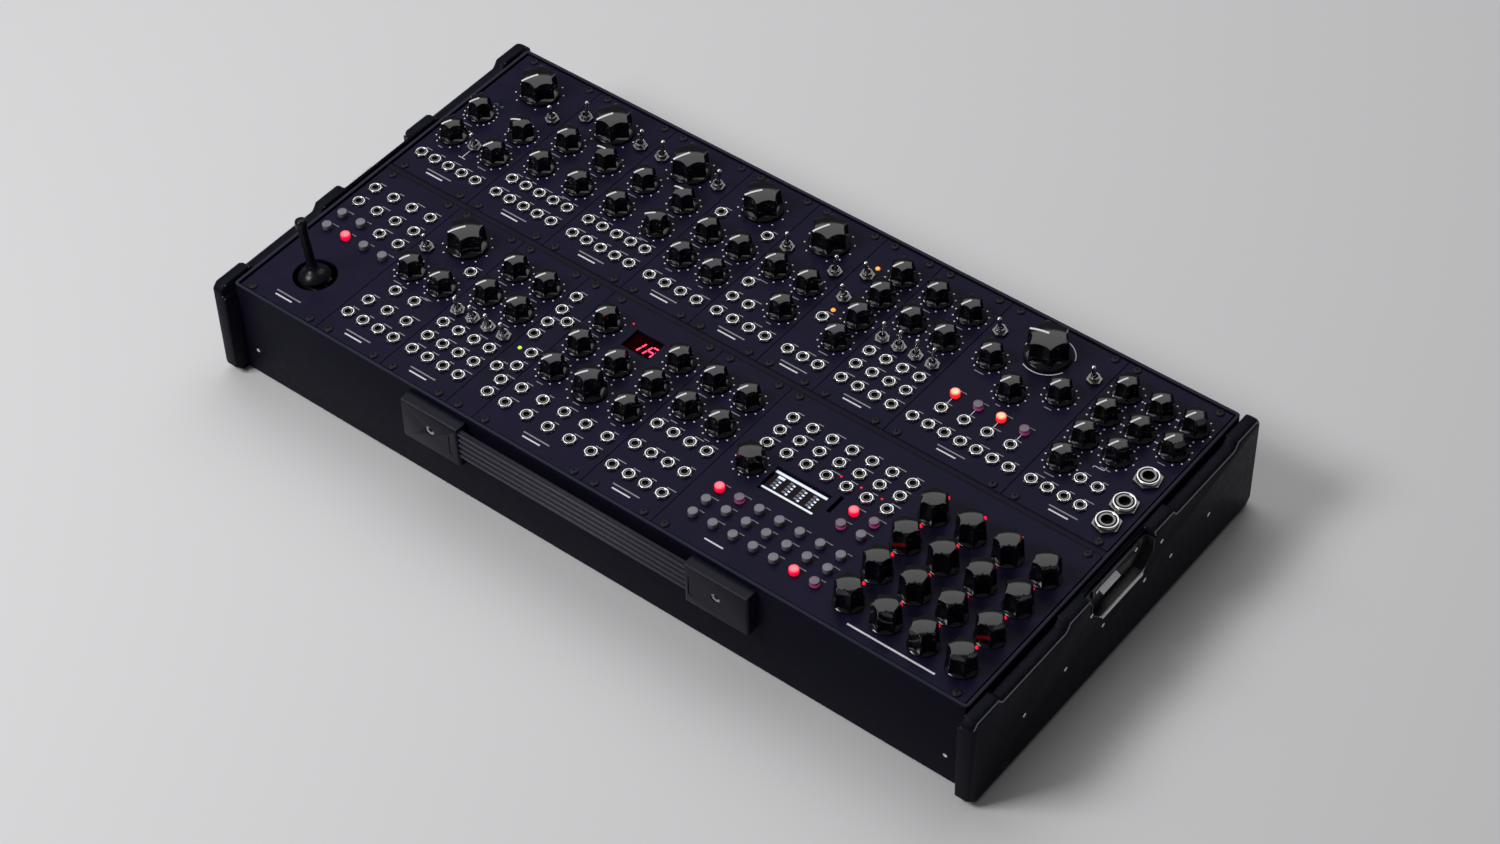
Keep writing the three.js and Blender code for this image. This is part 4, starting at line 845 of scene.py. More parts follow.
OSCILLATOR = dict(
    row=1, units=12, small=grid_of([15.24, 45.72], [78.3, 52.1]), big=[(30.48, 104.25)],
    jacks=grid_of(spread(8.48, 11, 5), [32.95, 17.95]), levers=[(8.48, 103.15, 1), (52.48, 103.15, 1)])
modules = {
    "wavetable_oscillator": dict(
        row=1, units=12, small=grid_of([13.5, 47.5], [67.45, 41.55]), big=[(30.48, 104.25)],
        jacks=row_of(spread(8.5, 11, 5), 17.95), levers=[(53.3, 89.55, -1), (31.5, 41.15, -1)]),
    "oscillator_a": dict(OSCILLATOR),
    "oscillator_b": dict(OSCILLATOR),
    "filter": dict(
        row=1, units=10, small=[(37.57, 66.7)] + row_of([13.27, 37.57], 40.85), big=[(25.4, 104.25)],
        jacks=[(7.8, 86.15), (43, 86.15)] + row_of([7.5, 19.4, 31.3, 43.2], 17.65),
        live_small=[(13.27, 66.7)]),
    "low_pass_gate": dict(
        row=1, units=10, small=[(13.6, 67), (37.6, 67), (37.6, 40.95)], big=[(25.4, 104.25)],
        jacks=[(7.5, 48.25), (7.5, 32.95), (19.4, 32.95)] + row_of(FOUR_COLUMNS, 17.95),
        levers=[(43.2, 85.65, 1)], live_levers=[(7.6, 85.65)]),
    "envelope": dict(
        row=1, units=8, small=[(27.3, 106.45), (27.3, 84.55), (27.3, 62.35), (27.3, 40.35)],
        jacks=[(9.3, 51.15)] + row_of([9.3, 20.3, 31.3], 17.95), levers=[(9.8, 71.45, -1)],
        live_levers=[(9.6, 94.85)], lamps=[(10.5, 104.15, "orange"), (10.5, 60.25, "orange")]),
    "rear_quad_amplifier": dict(
        row=1, units=10, small=grid_of([13.3, 37.3], [104.55, 78.3]),
        jacks=grid_of(FOUR_COLUMNS, [45.05, 31.85, 17.95]), levers=[(x, 57.65, 1) for x in FOUR_COLUMNS[1:]],
        live_levers=[(FOUR_COLUMNS[0], 57.65)]),
    "stereo_delay": dict(
        row=1, units=16, small=[(16.7, 82.05), (64.8, 81.95), (40.6, 67.05)], xl=[(40.64, 105.15)],
        jacks=row_of([16.7, 32.7, 48.7, 64.8], 32.85) + row_of(spread(7.49, 11.05, 7), 17.95),
        levers=[(7.9, 103.85, -1), (73.6, 103.85, -1)],
        live_buttons=row_of([16.7, 32.8, 48.7, 64.8], 46.65)),
    "output": dict(
        row=1, units=14,
        small=[(13.1, 106.45), (13.1, 84.55), (13.1, 62.25), (13.1, 40.25), (36.1, 106.45), (36.1, 84.55),
               (36.1, 62.25), (58.6, 84.65)],
        jacks=[(29.2, 35.35), (40.7, 35.35)] + row_of([7.5, 18.5, 29.6, 40.6], 18.45),
        sockets=[(59.6, 57.65), (59.6, 33.65), (59.6, 16.35)], live_small=[(58.6, 106.45)]),
    "joystick": dict(
        row=0, units=12, jacks=grid_of([8, 23, 38, 53], [109.6, 94.7]) + [(38, 80.7), (53, 80.7)],
        buttons=[(8, 80.3), (23, 80.3), (8, 66.7), (38, 66.7), (53, 66.7)], live_buttons=[(23, 66.7)],
        stick=(30.5, 32)),
    "modulator": dict(
        row=0, units=10, small=row_of([13.5, 37.5], 68.9), big=[(25.4, 105.8)],
        jacks=[(43.2, 88.7), (17.8, 49.9), (33, 49.9)] + row_of([10.3, 25.4, 40.4], 34.6)
        + row_of([7.4, 19.4, 31.4, 43.4], 20), levers=[(7.7, 89, -1)]),
    "front_quad_amplifier": dict(
        row=0, units=10, small=grid_of([13.3, 37.3], [105.8, 80]),
        jacks=grid_of(FOUR_COLUMNS, [47.2, 33.4, 20]), levers=[(x, 59.8, -1) for x in FOUR_COLUMNS[1:]],
        live_levers=[(FOUR_COLUMNS[0], 59.8)]),
    "mixer": dict(
        row=0, units=4,
        jacks=[(5.5, 110.3), (5.5, 97.2), (5.5, 84.2), (5.5, 71.9), (5.5, 38.8), (14.8, 90.9), (14.8, 58.8),
               (14.8, 45.8), (14.8, 31.9), (14.8, 20)], lamps=[(5.7, 59, "green")]),
    "effect": dict(
        row=0, units=16, small=grid_of([13.2, 68.2], [105.2, 80.8, 56.3]) + [(40.7, 80.8)],
        medium=[(40.6, 56.3)], jacks=grid_of([8.4, 24.4, 40.4, 56.4, 72.4], [34.1, 19.6]),
        windows=[(40.85, 104.25, 20.5, 15.5)], lamps=[(25.8, 114.2, "tiny")]),
    "offset_mixer": dict(
        row=0, units=10, small=[(37.2, 104.9)] + row_of([13.2, 37.2], 78.9),
        jacks=grid_of([7.1, 19.1, 31.1, 43.1], [59.1, 39.2, 19.2]), live_small=[(13.2, 104.9)]),
    "sequencer": dict(
        row=0, units=42, step=grid_of(STEP_X, STEP_Y), live_step=row_of(STEP_X, LIVE_STEP_Y),
        encoder=[(17.24, 67.5)],
        jacks=grid_of(spread(15.24, 14.03, 7), [109.1, 97.1, 84.9]),
        buttons=[(100, 60.3)] + row_of(spread(43.7, 14.1, 5), 41.7)
        + row_of(spread(15.5, 14.1, 7), 29.8) + row_of(spread(15.5, 14.1, 5), 17.9),
        faint_buttons=[(100, 72.3), (86, 60.3), (29.6, 41.7), (100.1, 17.9)],
        live_buttons=[(86, 72.3), (15.5, 41.7), (86, 17.9)], windows=[(49.8, 65.5, 38, 20)],
        slots=[(73.8, 71.5)],
        lamps=[(x - 1, y + 15.2, "red") for x in STEP_X for y in STEP_Y + [LIVE_STEP_Y]]
        + [(63.9, 90.2, "tiny"), (77.9, 90.2, "tiny"), (92.1, 90.2, "tiny")]),
}
filled = [0, 0]
for spec in modules.values():
    spec["left"] = filled[spec["row"]] * UNIT
    spec["base"] = spec["row"] * ROW_PITCH
    filled[spec["row"]] += spec["units"]


def on_panel(spec, x, y, z=0.0, angle=0.0):
    """A place on a module's panel, in the scene's metres, with a turn in degrees."""
    return (*metres(spec["left"] + x - CENTRE_X, spec["base"] + y - CENTRE_Y, PANEL_TOP + z), angle)


def varied(places, step, first=0, period=360):
    """Places with a turn that steps on from each to the next, as hand-fitted nuts and screws have."""
    return [(x, y, 0.0, first + step * i % period) for i, (x, y) in enumerate(places)]


def set_out(name, model, spec, places, material=None):
    """Copies a model to places on one module's panel and settles them as one piece, if there are any."""
    if places:
        piece = place_copies(name, model, [on_panel(spec, *place) for place in places])
        if material:
            dress(piece, material)
        settle(piece)


print("rows filled to", filled, "units")

# %% [markdown]
# ## The panels
# A panel is a flat plate with very slightly rounded edges, so each starts as a cube at its place and
# gets a small bevel. The display windows, the card slot and the joystick's round cut-out go right
# through it, which a Boolean modifier with a plain cutter does most cleanly.

# %% Helper: a panel plate with its cut-outs
PANEL_THICK, PANEL_GAP = 2.0, 0.3
SLOT_WIDE, SLOT_DEEP, STICK_HOLE = 2.4, 14.0, 13.5
CUTTER_HIGH = 6.0


def panel_plate(name, spec):
    """The module's plate, which stands for the panel in the frame."""
    width = spec["units"] * UNIT
    middle = on_panel(spec, width / 2, PANEL_DEPTH / 2, -PANEL_THICK / 2)[:3]
    plate = block(name + "_plate", middle, metres(width - PANEL_GAP, PANEL_DEPTH, PANEL_THICK))
    openings = spec.get("windows", []) + [(x, y, SLOT_WIDE, SLOT_DEEP) for x, y in spec.get("slots", [])]
    for x, y, wide, deep in openings:
        cut_out(plate, block("cutter", on_panel(spec, x, y)[:3], metres(wide, deep, CUTTER_HIGH)))
    if "stick" in spec:
        cut_out(plate, start_piece("cutter", "cylinder", vertices=64, radius=STICK_HOLE * MM,
                                   depth=CUTTER_HIGH * MM, location=on_panel(spec, *spec["stick"])[:3]))
    soften(plate, 0.00025, angle=50, smooth=10)
    return settle(dress(plate, panel_black), node=name + "_panel")


# %% Make the plates
for name, spec in modules.items():
    plate = panel_plate(name, spec)
    print(plate.name, len(plate.data.polygons), "faces")

# %% The lip of the middle rail, seen as a thin strip between the two rows
LIP_WIDE, LIP_HIGH, LIP_BEHIND, LIP_DROP = 1.9, 1.6, 2.42, 1.1
lip = block("middle_rail_lip", metres(0, PANEL_DEPTH + LIP_BEHIND - CENTRE_Y, PANEL_TOP - LIP_DROP),
            metres(filled[0] * UNIT, LIP_WIDE, LIP_HIGH))
soften(lip, 0.0002, angle=50, smooth=10)
settle(dress(lip, panel_black))
print("lip", round(lip.dimensions.x, 4), "m long")

# %% [markdown]
# ## Fixed controls
# The models are now copied to their places, module by module, and the copies of one kind on one
# module become one piece. Most knobs point to their lowest setting, at the lower left of the dial.
# Nuts and sockets are turned a little differently from one to the next, as a spanner leaves them.

# %% Copy the fixed controls to their places
LOW_TURN = 240
STEP_TURN, SOCKET_TURN, SOCKET_START, PLUG_START, NUT_TURN = 17, 37, 15, 12, 10
LEVER_PIVOT, LEVER_LEAN = 1.2, -9
other_turns = {
    ("oscillator_a", 45.72, 78.3): 180, ("oscillator_b", 45.72, 78.3): 180,
    ("wavetable_oscillator", 47.5, 67.45): 202, ("oscillator_b", 45.72, 52.1): 215,
}


def leaning(lean):
    """The turn of a lever that leans to the back (1) or the front (-1), or stands upright (0)."""
    return Matrix.Rotation(math.radians(LEVER_LEAN * lean), 4, "X")


for name, spec in modules.items():
    dials = [(x, y, 0.0, other_turns.get((name, x, y), LOW_TURN)) for x, y in spec.get("small", [])]
    set_out(name + "_small_knobs", small_knob, spec, dials)
    steps = varied(spec.get("step", []), STEP_TURN, period=60)
    set_out(name + "_step_knobs", step_knob, spec, steps)
    jacks = varied(spec["jacks"], SOCKET_TURN, SOCKET_START, period=60)
    set_out(name + "_patch_sockets", jack, spec, jacks)
    plugs = varied(spec.get("sockets", []), 0, PLUG_START)
    set_out(name + "_plug_sockets", big_socket, spec, plugs)
    nuts = [lever[:2] for lever in spec.get("levers", []) + spec.get("live_levers", [])]
    set_out(name + "_lever_nuts", toggle_nut, spec, varied(nuts, NUT_TURN))
    bats = [twin_of(lever_model, Matrix.Translation(on_panel(spec, x, y, LEVER_PIVOT)[:3]) @ leaning(lean))
            for x, y, lean in spec.get("levers", [])]
    if bats:
        settle(join_pieces(name + "_levers", bats))
    set_out(name + "_caps", cap_model, spec, spec.get("buttons", []), cap_grey)
    set_out(name + "_faint_caps", cap_model, spec, spec.get("faint_buttons", []), cap_faint)
    print(name, "dressed")

# %% [markdown]
# ## Moving controls
# Each of these is a body of its own in the frame, so it gets its own piece, which stands for the
# frame's node and rides on the body of the same name. Its place is the one in the layout.

# %% Helper and turns of the moving knobs
KNOB_CLEARANCE = 0.3
LIVE_STEP_START, LIVE_STEP_TURN = 13, 21


def live_piece(node, model, spot, material=None):
    """One moving control at its place, riding on the body of the same name."""
    piece = place_copies(node + "_body", model, [spot])
    if material:
        dress(piece, material)
    return settle(piece, node, node)


live_knobs = [
    ("wavetable_pitch_knob", large_knob, "wavetable_oscillator", "big", LOW_TURN),
    ("oscillator_a_pitch_knob", large_knob, "oscillator_a", "big", LOW_TURN),
    ("oscillator_b_pitch_knob", large_knob, "oscillator_b", "big", LOW_TURN),
    ("filter_cutoff_knob", large_knob, "filter", "big", 231),
    ("filter_resonance_knob", small_knob, "filter", "live_small", LOW_TURN),
    ("gate_level_knob", large_knob, "low_pass_gate", "big", LOW_TURN),
    ("delay_time_knob", delay_knob, "stereo_delay", "xl", 188),
    ("output_level_knob", small_knob, "output", "live_small", LOW_TURN),
    ("modulator_rate_knob", large_knob, "modulator", "big", 235),
    ("effect_program_knob", medium_knob, "effect", "medium", 231),
    ("offset_knob", small_knob, "offset_mixer", "live_small", LOW_TURN),
    ("sequencer_encoder", encoder_knob, "sequencer", "encoder", 0),
]
for node, model, module, kind, turn in live_knobs:
    place = modules[module][kind][0]
    live_piece(node, model, on_panel(modules[module], *place, KNOB_CLEARANCE, turn))
sequencer = modules["sequencer"]
for i, place in enumerate(sequencer["live_step"]):
    spot = on_panel(sequencer, *place, KNOB_CLEARANCE, LIVE_STEP_START + LIVE_STEP_TURN * i)
    live_piece("sequencer_step_knob_%d" % (i + 1), step_knob, spot)
print("moving knobs", len(live_knobs) + len(sequencer["live_step"]))

# %% The moving buttons and levers
live_buttons = {
    "stereo_delay": [("delay_lit_button_1", cap_hot), ("delay_lit_button_2", cap_faint),
                     ("delay_lit_button_3", cap_hot), ("delay_lit_button_4", cap_faint)],
    "joystick": [("joystick_record_button", cap_lit)],
    "sequencer": [("channel_lit_button", cap_lit), ("sequencer_lit_button_1", cap_lit),
                  ("sequencer_lit_button_2", cap_lit)],
}
live_levers = [
    ("gate_mode_lever", "low_pass_gate", 0), ("envelope_cycle_lever", "envelope", -1),
    ("rear_amplifier_lever", "rear_quad_amplifier", 1),
    ("front_amplifier_lever", "front_quad_amplifier", -1),
]
for module, buttons in live_buttons.items():
    spec = modules[module]
    for (node, material), place in zip(buttons, spec["live_buttons"]):
        live_piece(node, cap_model, on_panel(spec, *place), material)
    print(module, "moving buttons", len(buttons))
for node, module, lean in live_levers:
    spec = modules[module]
    bat = twin_of(lever_model, leaning(lean))
    live_piece(node, bat, on_panel(spec, *spec["live_levers"][0], LEVER_PIVOT))
print("moving levers", len(live_levers))

# %% [markdown]
# ## The joystick
# A tapered stick stands on a shallow dome that turns under the panel's round cut-out. The stick is
# drawn up from the dome's own top edge, so the two meet in one smooth fillet as the moulded one does.

# %% Model the stick and its dome
STICK_PIVOT, STICK_LEAN = -6.0, -7
DOME_RADIUS, DOME_FOOT, STICK_ROOT = 0.012, 0.0058, 0.0045
STICK_OUTLINE = ((0.0125, 0.0034), (0.0145, 0.0029), (0.024, 0.0027), (0.0345, 0.0028), (0.040, 0.0031),
                 (0.0435, 0.0036), (0.0462, 0.0037), (0.0474, 0.0032), (0.048, 0.0022))
stick = start_piece("joystick_stick_body", "uv_sphere", segments=48, ring_count=24, radius=DOME_RADIUS)
bpy.ops.object.mode_set(mode="EDIT")
choose(stick, "FACE", lambda face: face.calc_center_median().z < DOME_FOOT)
bpy.ops.mesh.delete(type="FACE")
choose(stick, "FACE", lambda face: face.calc_center_median().xy.length < STICK_ROOT)
bpy.ops.mesh.delete(type="FACE")
choose(stick, "EDGE", lambda edge: edge.is_boundary and edge.verts[0].co.z > DOME_RADIUS * 0.75)
for height, radius in STICK_OUTLINE:
    ring = [v.co for v in bmesh.from_edit_mesh(stick.data).verts if v.select]
    here = sum(place.z for place in ring) / len(ring)
    wide = sum(place.xy.length for place in ring) / len(ring)
    draw_up(height - here)
    widen(radius / wide)
bpy.ops.mesh.edge_face_add()
bpy.ops.object.mode_set(mode="OBJECT")
wall = stick.modifiers.new("wall", "SOLIDIFY")
wall.thickness = 0.001
wall.offset = -1
apply_modifiers(stick)
shade(stick, 50)
stick_spot = on_panel(modules["joystick"], *modules["joystick"]["stick"], STICK_PIVOT)[:3]
stick.data.transform(Matrix.Translation(stick_spot) @ Matrix.Rotation(math.radians(STICK_LEAN), 4, "Y"))
settle(dress(stick, stick_black), "joystick_stick", "joystick_stick")
refined("joystick_gimbal", "joystick_gimbal_frame", 0.0002, catch_steel, "joystick_gimbal")
print("stick", len(stick.data.polygons), "faces")

# %% [markdown]
# ## Screws and lamps
# Every panel is held by black pan-head screws near its corners, in from the sides by 7.5 mm and from
# the front and back edges by 3 mm, as the rack standard sets. The small lamps are low round lenses.

# %% Place the panel screws and the lamps, each kind of lamp with its width and height
SCREW_IN, SCREW_ROWS, SCREW_TURN, NARROW_UNITS = 7.5, (3.0, PANEL_DEPTH - 3.0), 17, 6
lamp_kinds = {"orange": (lamp_orange, 1.15, 0.8), "green": (lamp_green, 1.0, 0.7),
              "red": (lamp_red, 0.8, 1.5), "tiny": (lamp_red, 0.55, 0.4)}
for name, spec in modules.items():
    columns = [SCREW_IN]
    if spec["units"] > NARROW_UNITS:
        columns.append(spec["units"] * UNIT - SCREW_IN)
    set_out(name + "_screws", screw_model, spec, varied(grid_of(columns, SCREW_ROWS), SCREW_TURN))
    for kind, (material, wide, high) in lamp_kinds.items():
        lens = twin_of(lamp_model, Matrix.Diagonal((wide, wide, high, 1)))
        places = [(x, y) for x, y, k in spec.get("lamps", []) if k == kind]
        set_out(name + "_" + kind + "_lamps", lens, spec, places, material)
print("screws and lamps placed")

# %% [markdown]
# ## Details of the case
# Each cheek is held by eight small bright screws on its outer face, each catch plate by two, and one
# more sits at each end of the front wall. A model turned to face outwards is copied to their places.
# The handle's caps have a screw in their dimple, in a bright cup washer, and a thin hooked groove
# beside the strap, which two plain cutters take out.

# %% Case screws
CHEEK_FACE, CATCH_FACE, FRONT_FACE, CAP_FACE = 278.16, 273.41, -131.975, -140.975
CHEEK_SCREWS = [(36, -35), (75, -34), (98, -11), (111, -31), (152, -31), (167, -12), (179, -35), (218, -35)]
CATCH_SCREW_YS, CATCH_SCREW_DROP = (-19, 19), 5.2
FRONT_SCREW_X, FRONT_SCREW_Z = 254.8, 22


def facing(model, axis, sense=1):
    """A copy of a model turned by a right angle, to stand on an upright face."""
    return twin_of(model, Matrix.Rotation(math.radians(90 * sense), 4, axis))


def set_on_case(name, model, places):
    """Copies a model to places in millimetres from the middle of the case, at the table's height."""
    settle(place_copies(name, model, [(*metres(*place), 0) for place in places]))


for side, name in ((1, "right"), (-1, "left")):
    screw = facing(case_screw, "Y", side)
    set_on_case(name + "_cheek_screws", screw,
                [(side * CHEEK_FACE, y - CENTRE_Y, PANEL_TOP + z) for y, z in CHEEK_SCREWS])
    set_on_case(name + "_catch_screws", screw,
                [(side * CATCH_FACE, y, PANEL_TOP - CATCH_SCREW_DROP) for y in CATCH_SCREW_YS])
set_on_case("front_wall_screws", facing(case_screw, "X"),
            [(side * FRONT_SCREW_X, FRONT_FACE, FRONT_SCREW_Z) for side in (-1, 1)])
print("screws on two cheeks, two catch plates and the front wall")

# %% Handle screws, cup washers and hooked grooves, and the inlet's ring nut on the back wall
DIMPLE_FLOOR, HANDLE_SCREW_X, HANDLE_SCREW_DROP = CAP_FACE + 1.4, 105, 16.5
CUP_RADIUS, CUP_HEIGHT, CUP_EDGE, CUP_SINK = 0.0031, 0.0006, 0.0012, 0.0005
GROOVE_DEEP = 1.4
GROOVE_CUTS = ((0.0, -18.0, 0.7, 14.0), (1.0, -25.3, 2.7, 0.7))
INLET_X, INLET_Y, INLET_Z = 60 - CENTRE_X, 136.3, 26
cup = open_top("cup_washer", 28, CUP_RADIUS, CUP_HEIGHT)
inset(CUP_EDGE, -CUP_SINK)
bpy.ops.object.mode_set(mode="OBJECT")
dress(shade(cup, 35), cup_steel)
handle_places = [(side * HANDLE_SCREW_X, DIMPLE_FLOOR, PANEL_TOP - HANDLE_SCREW_DROP) for side in (-1, 1)]
set_on_case("handle_cups", facing(cup, "X"), handle_places)
set_on_case("handle_screws", dress(facing(case_screw, "X"), screw_black), handle_places)
for name, groove_x in (("left_cap_moulding", -89.8), ("right_cap_moulding", 86.3)):
    cap = bpy.data.objects[name]
    for dx, dz, wide, high in GROOVE_CUTS:
        cut_out(cap, block("groove", metres(groove_x + dx, CAP_FACE, PANEL_TOP + dz),
                           metres(wide, GROOVE_DEEP, high)))
    shade(cap, 20)
    print(name, len(cap.data.polygons), "faces")
set_on_case("inlet_ring_nut", facing(big_socket, "X", -1), [(INLET_X, INLET_Y, INLET_Z)])

# %% [markdown]
# ## Displays
# The effect module shows two slanted red figures behind a dark window, and the sequencer a small screen
# of white bars and cells. The window's glass lies against the underside of the panel. A figure is made
# of up to seven bars, so one bar is modelled and copied to the lit places.

# %% Helper: a flat bar, and the two windows' glass
def flat_bar(name, wide, high, thick, material, corner=0.0):
    """A flat bar on z = 0, in millimetres, with its corners cut by a bevel."""
    bar = block(name, (0, 0, thick * MM / 2), metres(wide, high, thick))
    if corner:
        bpy.ops.object.mode_set(mode="EDIT")
        choose(bar, "EDGE", lambda edge: abs(edge.verts[0].co.z - edge.verts[1].co.z) > 1e-6)
        bpy.ops.mesh.bevel(offset=corner * MM, segments=1)
        bpy.ops.object.mode_set(mode="OBJECT")
    return dress(bar, material)


GLASS_TOP, GLASS_THICK, GLASS_LAP = -2.05, 0.8, 2.0
LIT_Z = GLASS_TOP + 0.02
effect = modules["effect"]
for name, material in (("effect", number_glass), ("sequencer", window_glass)):
    x, y, wide, deep = modules[name]["windows"][0]
    glass = flat_bar("glass", wide + GLASS_LAP, deep + GLASS_LAP, GLASS_THICK, material)
    set_out(name + "_glass", glass, modules[name], [(x, y, GLASS_TOP - GLASS_THICK)])

# %% The lit figures
SLANT = 0.25
FIGURE_LOW, FIGURE_MIDDLE, FIGURE_HIGH, FIGURE_WIDE = 99.4, 103.4, 107.4, 5.2
FIRST_LEFT, SECOND_LEFT = 34.2, 43.9
FIGURE_BAR = (1.1, 0.12, segment_red, 0.3)
upright = flat_bar("upright_bar", 3.6, *FIGURE_BAR)
level = flat_bar("level_bar", 4.0, *FIGURE_BAR)


def upright_place(left, side, upper):
    """The place and slant of one upright bar of a figure: on its left (0) or right (1), low or high."""
    y = (FIGURE_MIDDLE + (FIGURE_HIGH if upper else FIGURE_LOW)) / 2
    x = left + side * FIGURE_WIDE + SLANT * (y - FIGURE_LOW)
    return x, y, LIT_Z, 90 - math.degrees(math.atan(SLANT))


uprights = [upright_place(FIRST_LEFT, 1, upper) for upper in (0, 1)]
uprights += [upright_place(SECOND_LEFT, side, upper) for side in (0, 1) for upper in (0, 1)]
levels = [(SECOND_LEFT + FIGURE_WIDE / 2 + SLANT * (y - FIGURE_LOW), y, LIT_Z)
          for y in (FIGURE_MIDDLE, FIGURE_HIGH)]
set_out("figure_uprights", upright, effect, uprights)
set_out("figure_levels", level, effect, levels)
print("lit bars", len(uprights) + len(levels))

# %% The screen's bars and cells, four groups of them with one cell less in the first
CELL_THICK = 0.1
cell_columns = [38.1, 46.3, 54.5, 62.7]
cell_rows = [62.3, 64.8, 67.3, 69.8]
cells = [(x, y) for i, x in enumerate(cell_columns) for y in cell_rows[:3 if i == 0 else 4]]
screen_parts = [
    ("screen_head_bar", 35.8, 1.8, cell_white, [(49.0, 73.2)]),
    ("screen_foot_bar", 35.6, 1.3, cell_white, [(49.0, 59.4)]),
    ("screen_block", 4.6, 1.9, cell_white, [(37.0, 70.4)]),
    ("screen_cells", 1.5, 1.2, cell_white, cells),
    ("screen_faint_cells", 2.2, 1.6, cell_dim, [(x - 2.1, y + 0.6) for x, y in cells]),
]
for name, wide, high, material, places in screen_parts:
    bar = flat_bar("bar", wide, high, CELL_THICK, material)
    set_out(name, bar, sequencer, [(x, y, LIT_Z) for x, y in places])
print("screen cells", len(cells))

# %% [markdown]
# ## Printed marks
# White dots ring every knob: eleven of them, thirty degrees apart, with a gap at the bottom. One knob's
# are twenty degrees apart, and the encoder's go all the way round. They are very thin discs of a few
# faces each, joined into one piece for a module. Where the real panels have words, plain bars of the
# same length stand for them, and the arcs, brackets and lines are the real ones.

# %% Model a printed dot and place the rings
DIAL_START, DIAL_SWEEP, DOT_STEP, FINE_STEP = 240, 300, 30, 20
DOT_RADIUS, DOT_THICK, ENCODER_RING = 0.00055, 0.00006, 10.6
FINE_DIAL = ("wavetable_oscillator", 13.5, 67.45)
dot_model = start_piece("dot", "cylinder", vertices=8, radius=DOT_RADIUS, depth=DOT_THICK,
                        location=(0, 0, DOT_THICK / 2))
dress(dot_model, print_white)
ring_radius = {"small": 10.65, "live_small": 10.65, "big": 15.2, "medium": 13.4}


def ring_of(x, y, radius, start, step, count):
    """Places on a circle, from a starting angle on, in degrees."""
    angles = [math.radians(start + step * k) for k in range(count)]
    return [(x + radius * math.cos(angle), y + radius * math.sin(angle)) for angle in angles]


for name, spec in modules.items():
    dots = []
    for kind, radius in ring_radius.items():
        for x, y in spec.get(kind, []):
            step = FINE_STEP if (name, x, y) == FINE_DIAL else DOT_STEP
            dots += ring_of(x, y, radius, DIAL_START, -step, DIAL_SWEEP // step + 1)
    for x, y in spec.get("encoder", []):
        dots += ring_of(x, y, ENCODER_RING, 0, DOT_STEP, 360 // DOT_STEP)
    set_out(name + "_dots", dot_model, spec, dots)
    print(name, len(dots), "dots")

# %% Bars in place of words: under the knobs, and behind the sockets and the buttons
PRINT_THICK, WORD_HIGH = 0.06, 0.65
SOCKET_WORD, KNOB_WORD, BUTTON_WORD = (1.2, 5.9), (0, -12.2), (2.6, 4.6)
WORD_STAGGER, TITLED_UNITS = 0.5, 8
TITLE_Y, SECOND_LINE_Y, SECOND_LINE_LEFT = 9.4, 6.4, 1.5
LONG_TITLE, LONG_SECOND_LINE = (160.0, 6.2), (38.0, 8.0)
word_bars = [flat_bar("word_bar", wide, WORD_HIGH, PRINT_THICK, print_fine) for wide in (4.8, 3.4, 6.4)]
title_bar = flat_bar("title_bar", 19.0, 0.9, PRINT_THICK, print_fine)
second_bar = flat_bar("second_bar", 13.0, 1.0, PRINT_THICK, print_white)
wide_bar = flat_bar("wide_bar", 58.0, 1.2, PRINT_THICK, print_white)
for name, spec in modules.items():
    words = [[], [], []]
    knobs = spec.get("small", []) + spec.get("live_small", []) + spec.get("medium", [])
    buttons = spec.get("buttons", []) + spec.get("faint_buttons", []) + spec.get("live_buttons", [])
    for i, (x, y) in enumerate(spec["jacks"]):
        words[i % 3].append((x + SOCKET_WORD[0] + WORD_STAGGER * (i % 3), y + SOCKET_WORD[1]))
    for i, (x, y) in enumerate(knobs):
        words[(i + 2) % 3].append((x + KNOB_WORD[0], y + KNOB_WORD[1]))
    for i, (x, y) in enumerate(buttons):
        words[i % 2].append((x + BUTTON_WORD[0], y + BUTTON_WORD[1]))
    for number, (bar, places) in enumerate(zip(word_bars, words)):
        set_out("%s_words_%d" % (name, number + 1), bar, spec, places)
    if spec["units"] >= TITLED_UNITS:
        middle = spec["units"] * UNIT / 2
        title, place = title_bar, (middle, TITLE_Y)
        second_place = (middle - SECOND_LINE_LEFT, SECOND_LINE_Y)
        if name == "sequencer":
            title, place, second_place = wide_bar, LONG_TITLE, LONG_SECOND_LINE
        set_out(name + "_title", title, spec, [place])
        set_out(name + "_second_line", second_bar, spec, [second_place])
print("bars placed")

# %% Lines between controls
def printed_lines(name, module, lines, material=print_white, width=0.45):
    """Straight printed lines, each from one point to another on a module's panel."""
    pieces = []
    for x0, y0, x1, y1 in lines:
        bar = flat_bar("line", math.hypot(x1 - x0, y1 - y0) + width, width, PRINT_THICK, material)
        angle = math.degrees(math.atan2(y1 - y0, x1 - x0))
        spot = on_panel(modules[module], (x0 + x1) / 2, (y0 + y1) / 2, 0, angle)
        pieces.append(place_copies("line", bar, [spot]))
    settle(join_pieces(name, pieces))
    print(name, len(pieces), "lines")


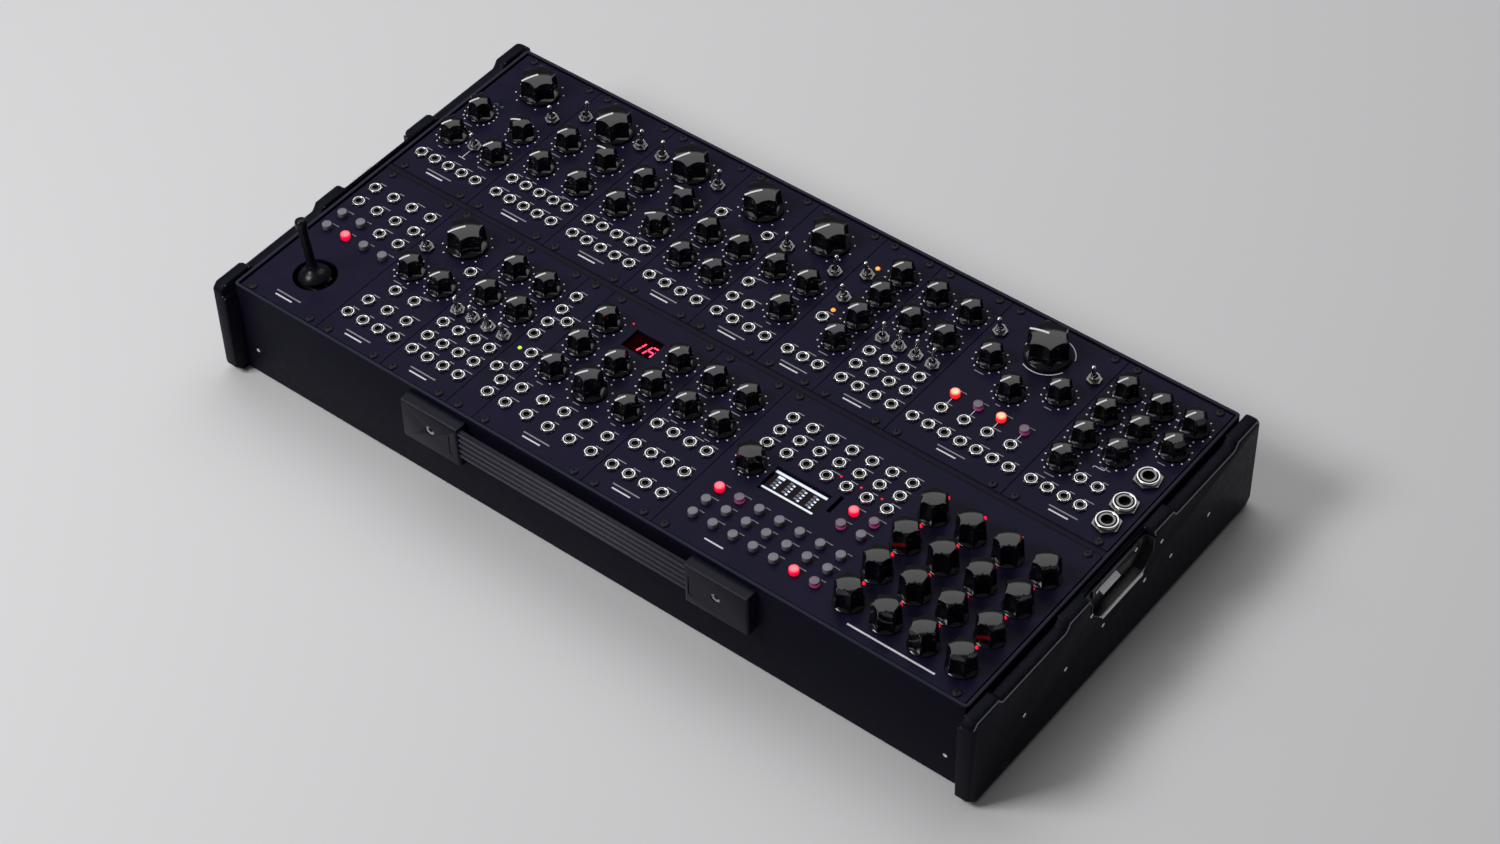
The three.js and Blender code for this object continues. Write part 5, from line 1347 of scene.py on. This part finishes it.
delay_columns = [x for x, y in modules["stereo_delay"]["live_buttons"]]
printed_lines("delay_lines", "stereo_delay", [(x, 43.2, x, 37.6) for x in delay_columns])
printed_lines("output_bracket", "output", [
    (29.5, 47.65, 29.5, 48.85), (29.5, 48.85, 36.1, 48.85), (36.1, 48.85, 36.1, 51.65)])
printed_lines("wavetable_branch", "wavetable_oscillator", [(31, 29.7, 31, 36.7), (28.6, 29.7, 33.4, 29.7)])
printed_lines("wavetable_waves", "wavetable_oscillator", [
    (14, 79.8, 15.4, 81.4), (15.4, 81.4, 16.8, 79.8), (18.6, 79.8, 20.4, 81.4), (20.4, 81.4, 20.4, 79.8)],
    print_teal, 0.5)

# %% Arcs round the delay's largest knob, spun from the end of a short bar
ARC_RADIUS, ARC_WIDE, ARC_STEPS = 16.2, 0.6, 24


def printed_arc(name, start, end):
    """A thin arc from one angle to another, in degrees, about the delay's largest knob."""
    arc = block("arc", metres(ARC_RADIUS, 0, PRINT_THICK / 2), metres(ARC_WIDE, 0.1, PRINT_THICK))
    bpy.ops.object.mode_set(mode="EDIT")
    choose(arc, "FACE", lambda face: face.normal.y > 0.9)
    bpy.ops.mesh.spin(steps=ARC_STEPS, angle=math.radians(end - start), center=(0, 0, 0), axis=(0, 0, 1))
    bpy.ops.mesh.select_all(action="SELECT")
    bpy.ops.mesh.remove_doubles(threshold=1e-7)
    bpy.ops.mesh.normals_make_consistent(inside=False)
    bpy.ops.object.mode_set(mode="OBJECT")
    dress(arc, print_white)
    delay = modules["stereo_delay"]
    set_out(name, arc, delay, [(*delay["xl"][0], 0, start)])
    print(name, end - start, "degrees")


printed_arc("delay_left_arc", 130, 240)
printed_arc("delay_right_arc", -24, 70)

# %% [markdown]
# ## Floor and light
# A plain pale floor and soft light from large lamps show the black finishes by their reflections. A
# large one behind the case puts the broad sheen on the knobs' domes, a smaller one at its left picks out
# the edges, and one dim even tone of the world fills the shadows.

# %% Floor
floor = start_piece("floor", "plane", size=12.0, location=(0, 0, 0))
floor_pale = bpy.data.materials.new("floor_pale")
floor_pale.use_nodes = True
floor_shader = floor_pale.node_tree.nodes["Principled BSDF"]
floor_shader.inputs["Base Color"].default_value = (0.70, 0.70, 0.71, 1)
floor_shader.inputs["Roughness"].default_value = 0.8
dress(floor, floor_pale)
print("floor", tuple(floor.dimensions.xy))

# %% Lamps and world
def soft_lamp(name, bearing, elevation, distance, width, height, power):
    """An area lamp that looks at the case, at a bearing from the camera's own, in degrees and metres."""
    data = bpy.data.lights.new(name, "AREA")
    data.shape = "RECTANGLE"
    data.size, data.size_y = width, height
    data.energy = power
    lamp = bpy.data.objects.new(name, data)
    bpy.context.collection.objects.link(lamp)
    turn = math.atan2(camera_back.y, camera_back.x) + math.radians(bearing)
    rise = math.radians(elevation)
    level = math.cos(rise)
    place = distance * Vector((level * math.cos(turn), level * math.sin(turn), math.sin(rise)))
    lamp.matrix_world = Matrix.Translation(place) @ (-place).to_track_quat("-Z", "Y").to_matrix().to_4x4()


soft_lamp("far_softbox", bearing=180, elevation=60, distance=2.4, width=2.8, height=1.9, power=27)
soft_lamp("near_key", bearing=-75, elevation=48, distance=2.3, width=0.8, height=0.8, power=30)
world = bpy.data.worlds.new("studio")
bpy.context.scene.world = world
world.use_nodes = True
backdrop = world.node_tree.nodes["Background"]
backdrop.inputs["Color"].default_value = (0.9, 0.9, 0.92, 1)
backdrop.inputs["Strength"].default_value = 0.12
bpy.context.scene.view_settings.view_transform = "Standard"
print("lamps", len(bpy.data.lights))

# %% Clear the models that were copied
kept = frame_names | finished | {floor.name}
for model in [item for item in bpy.data.objects if item.type == "MESH" and item.name not in kept]:
    bpy.data.objects.remove(model)
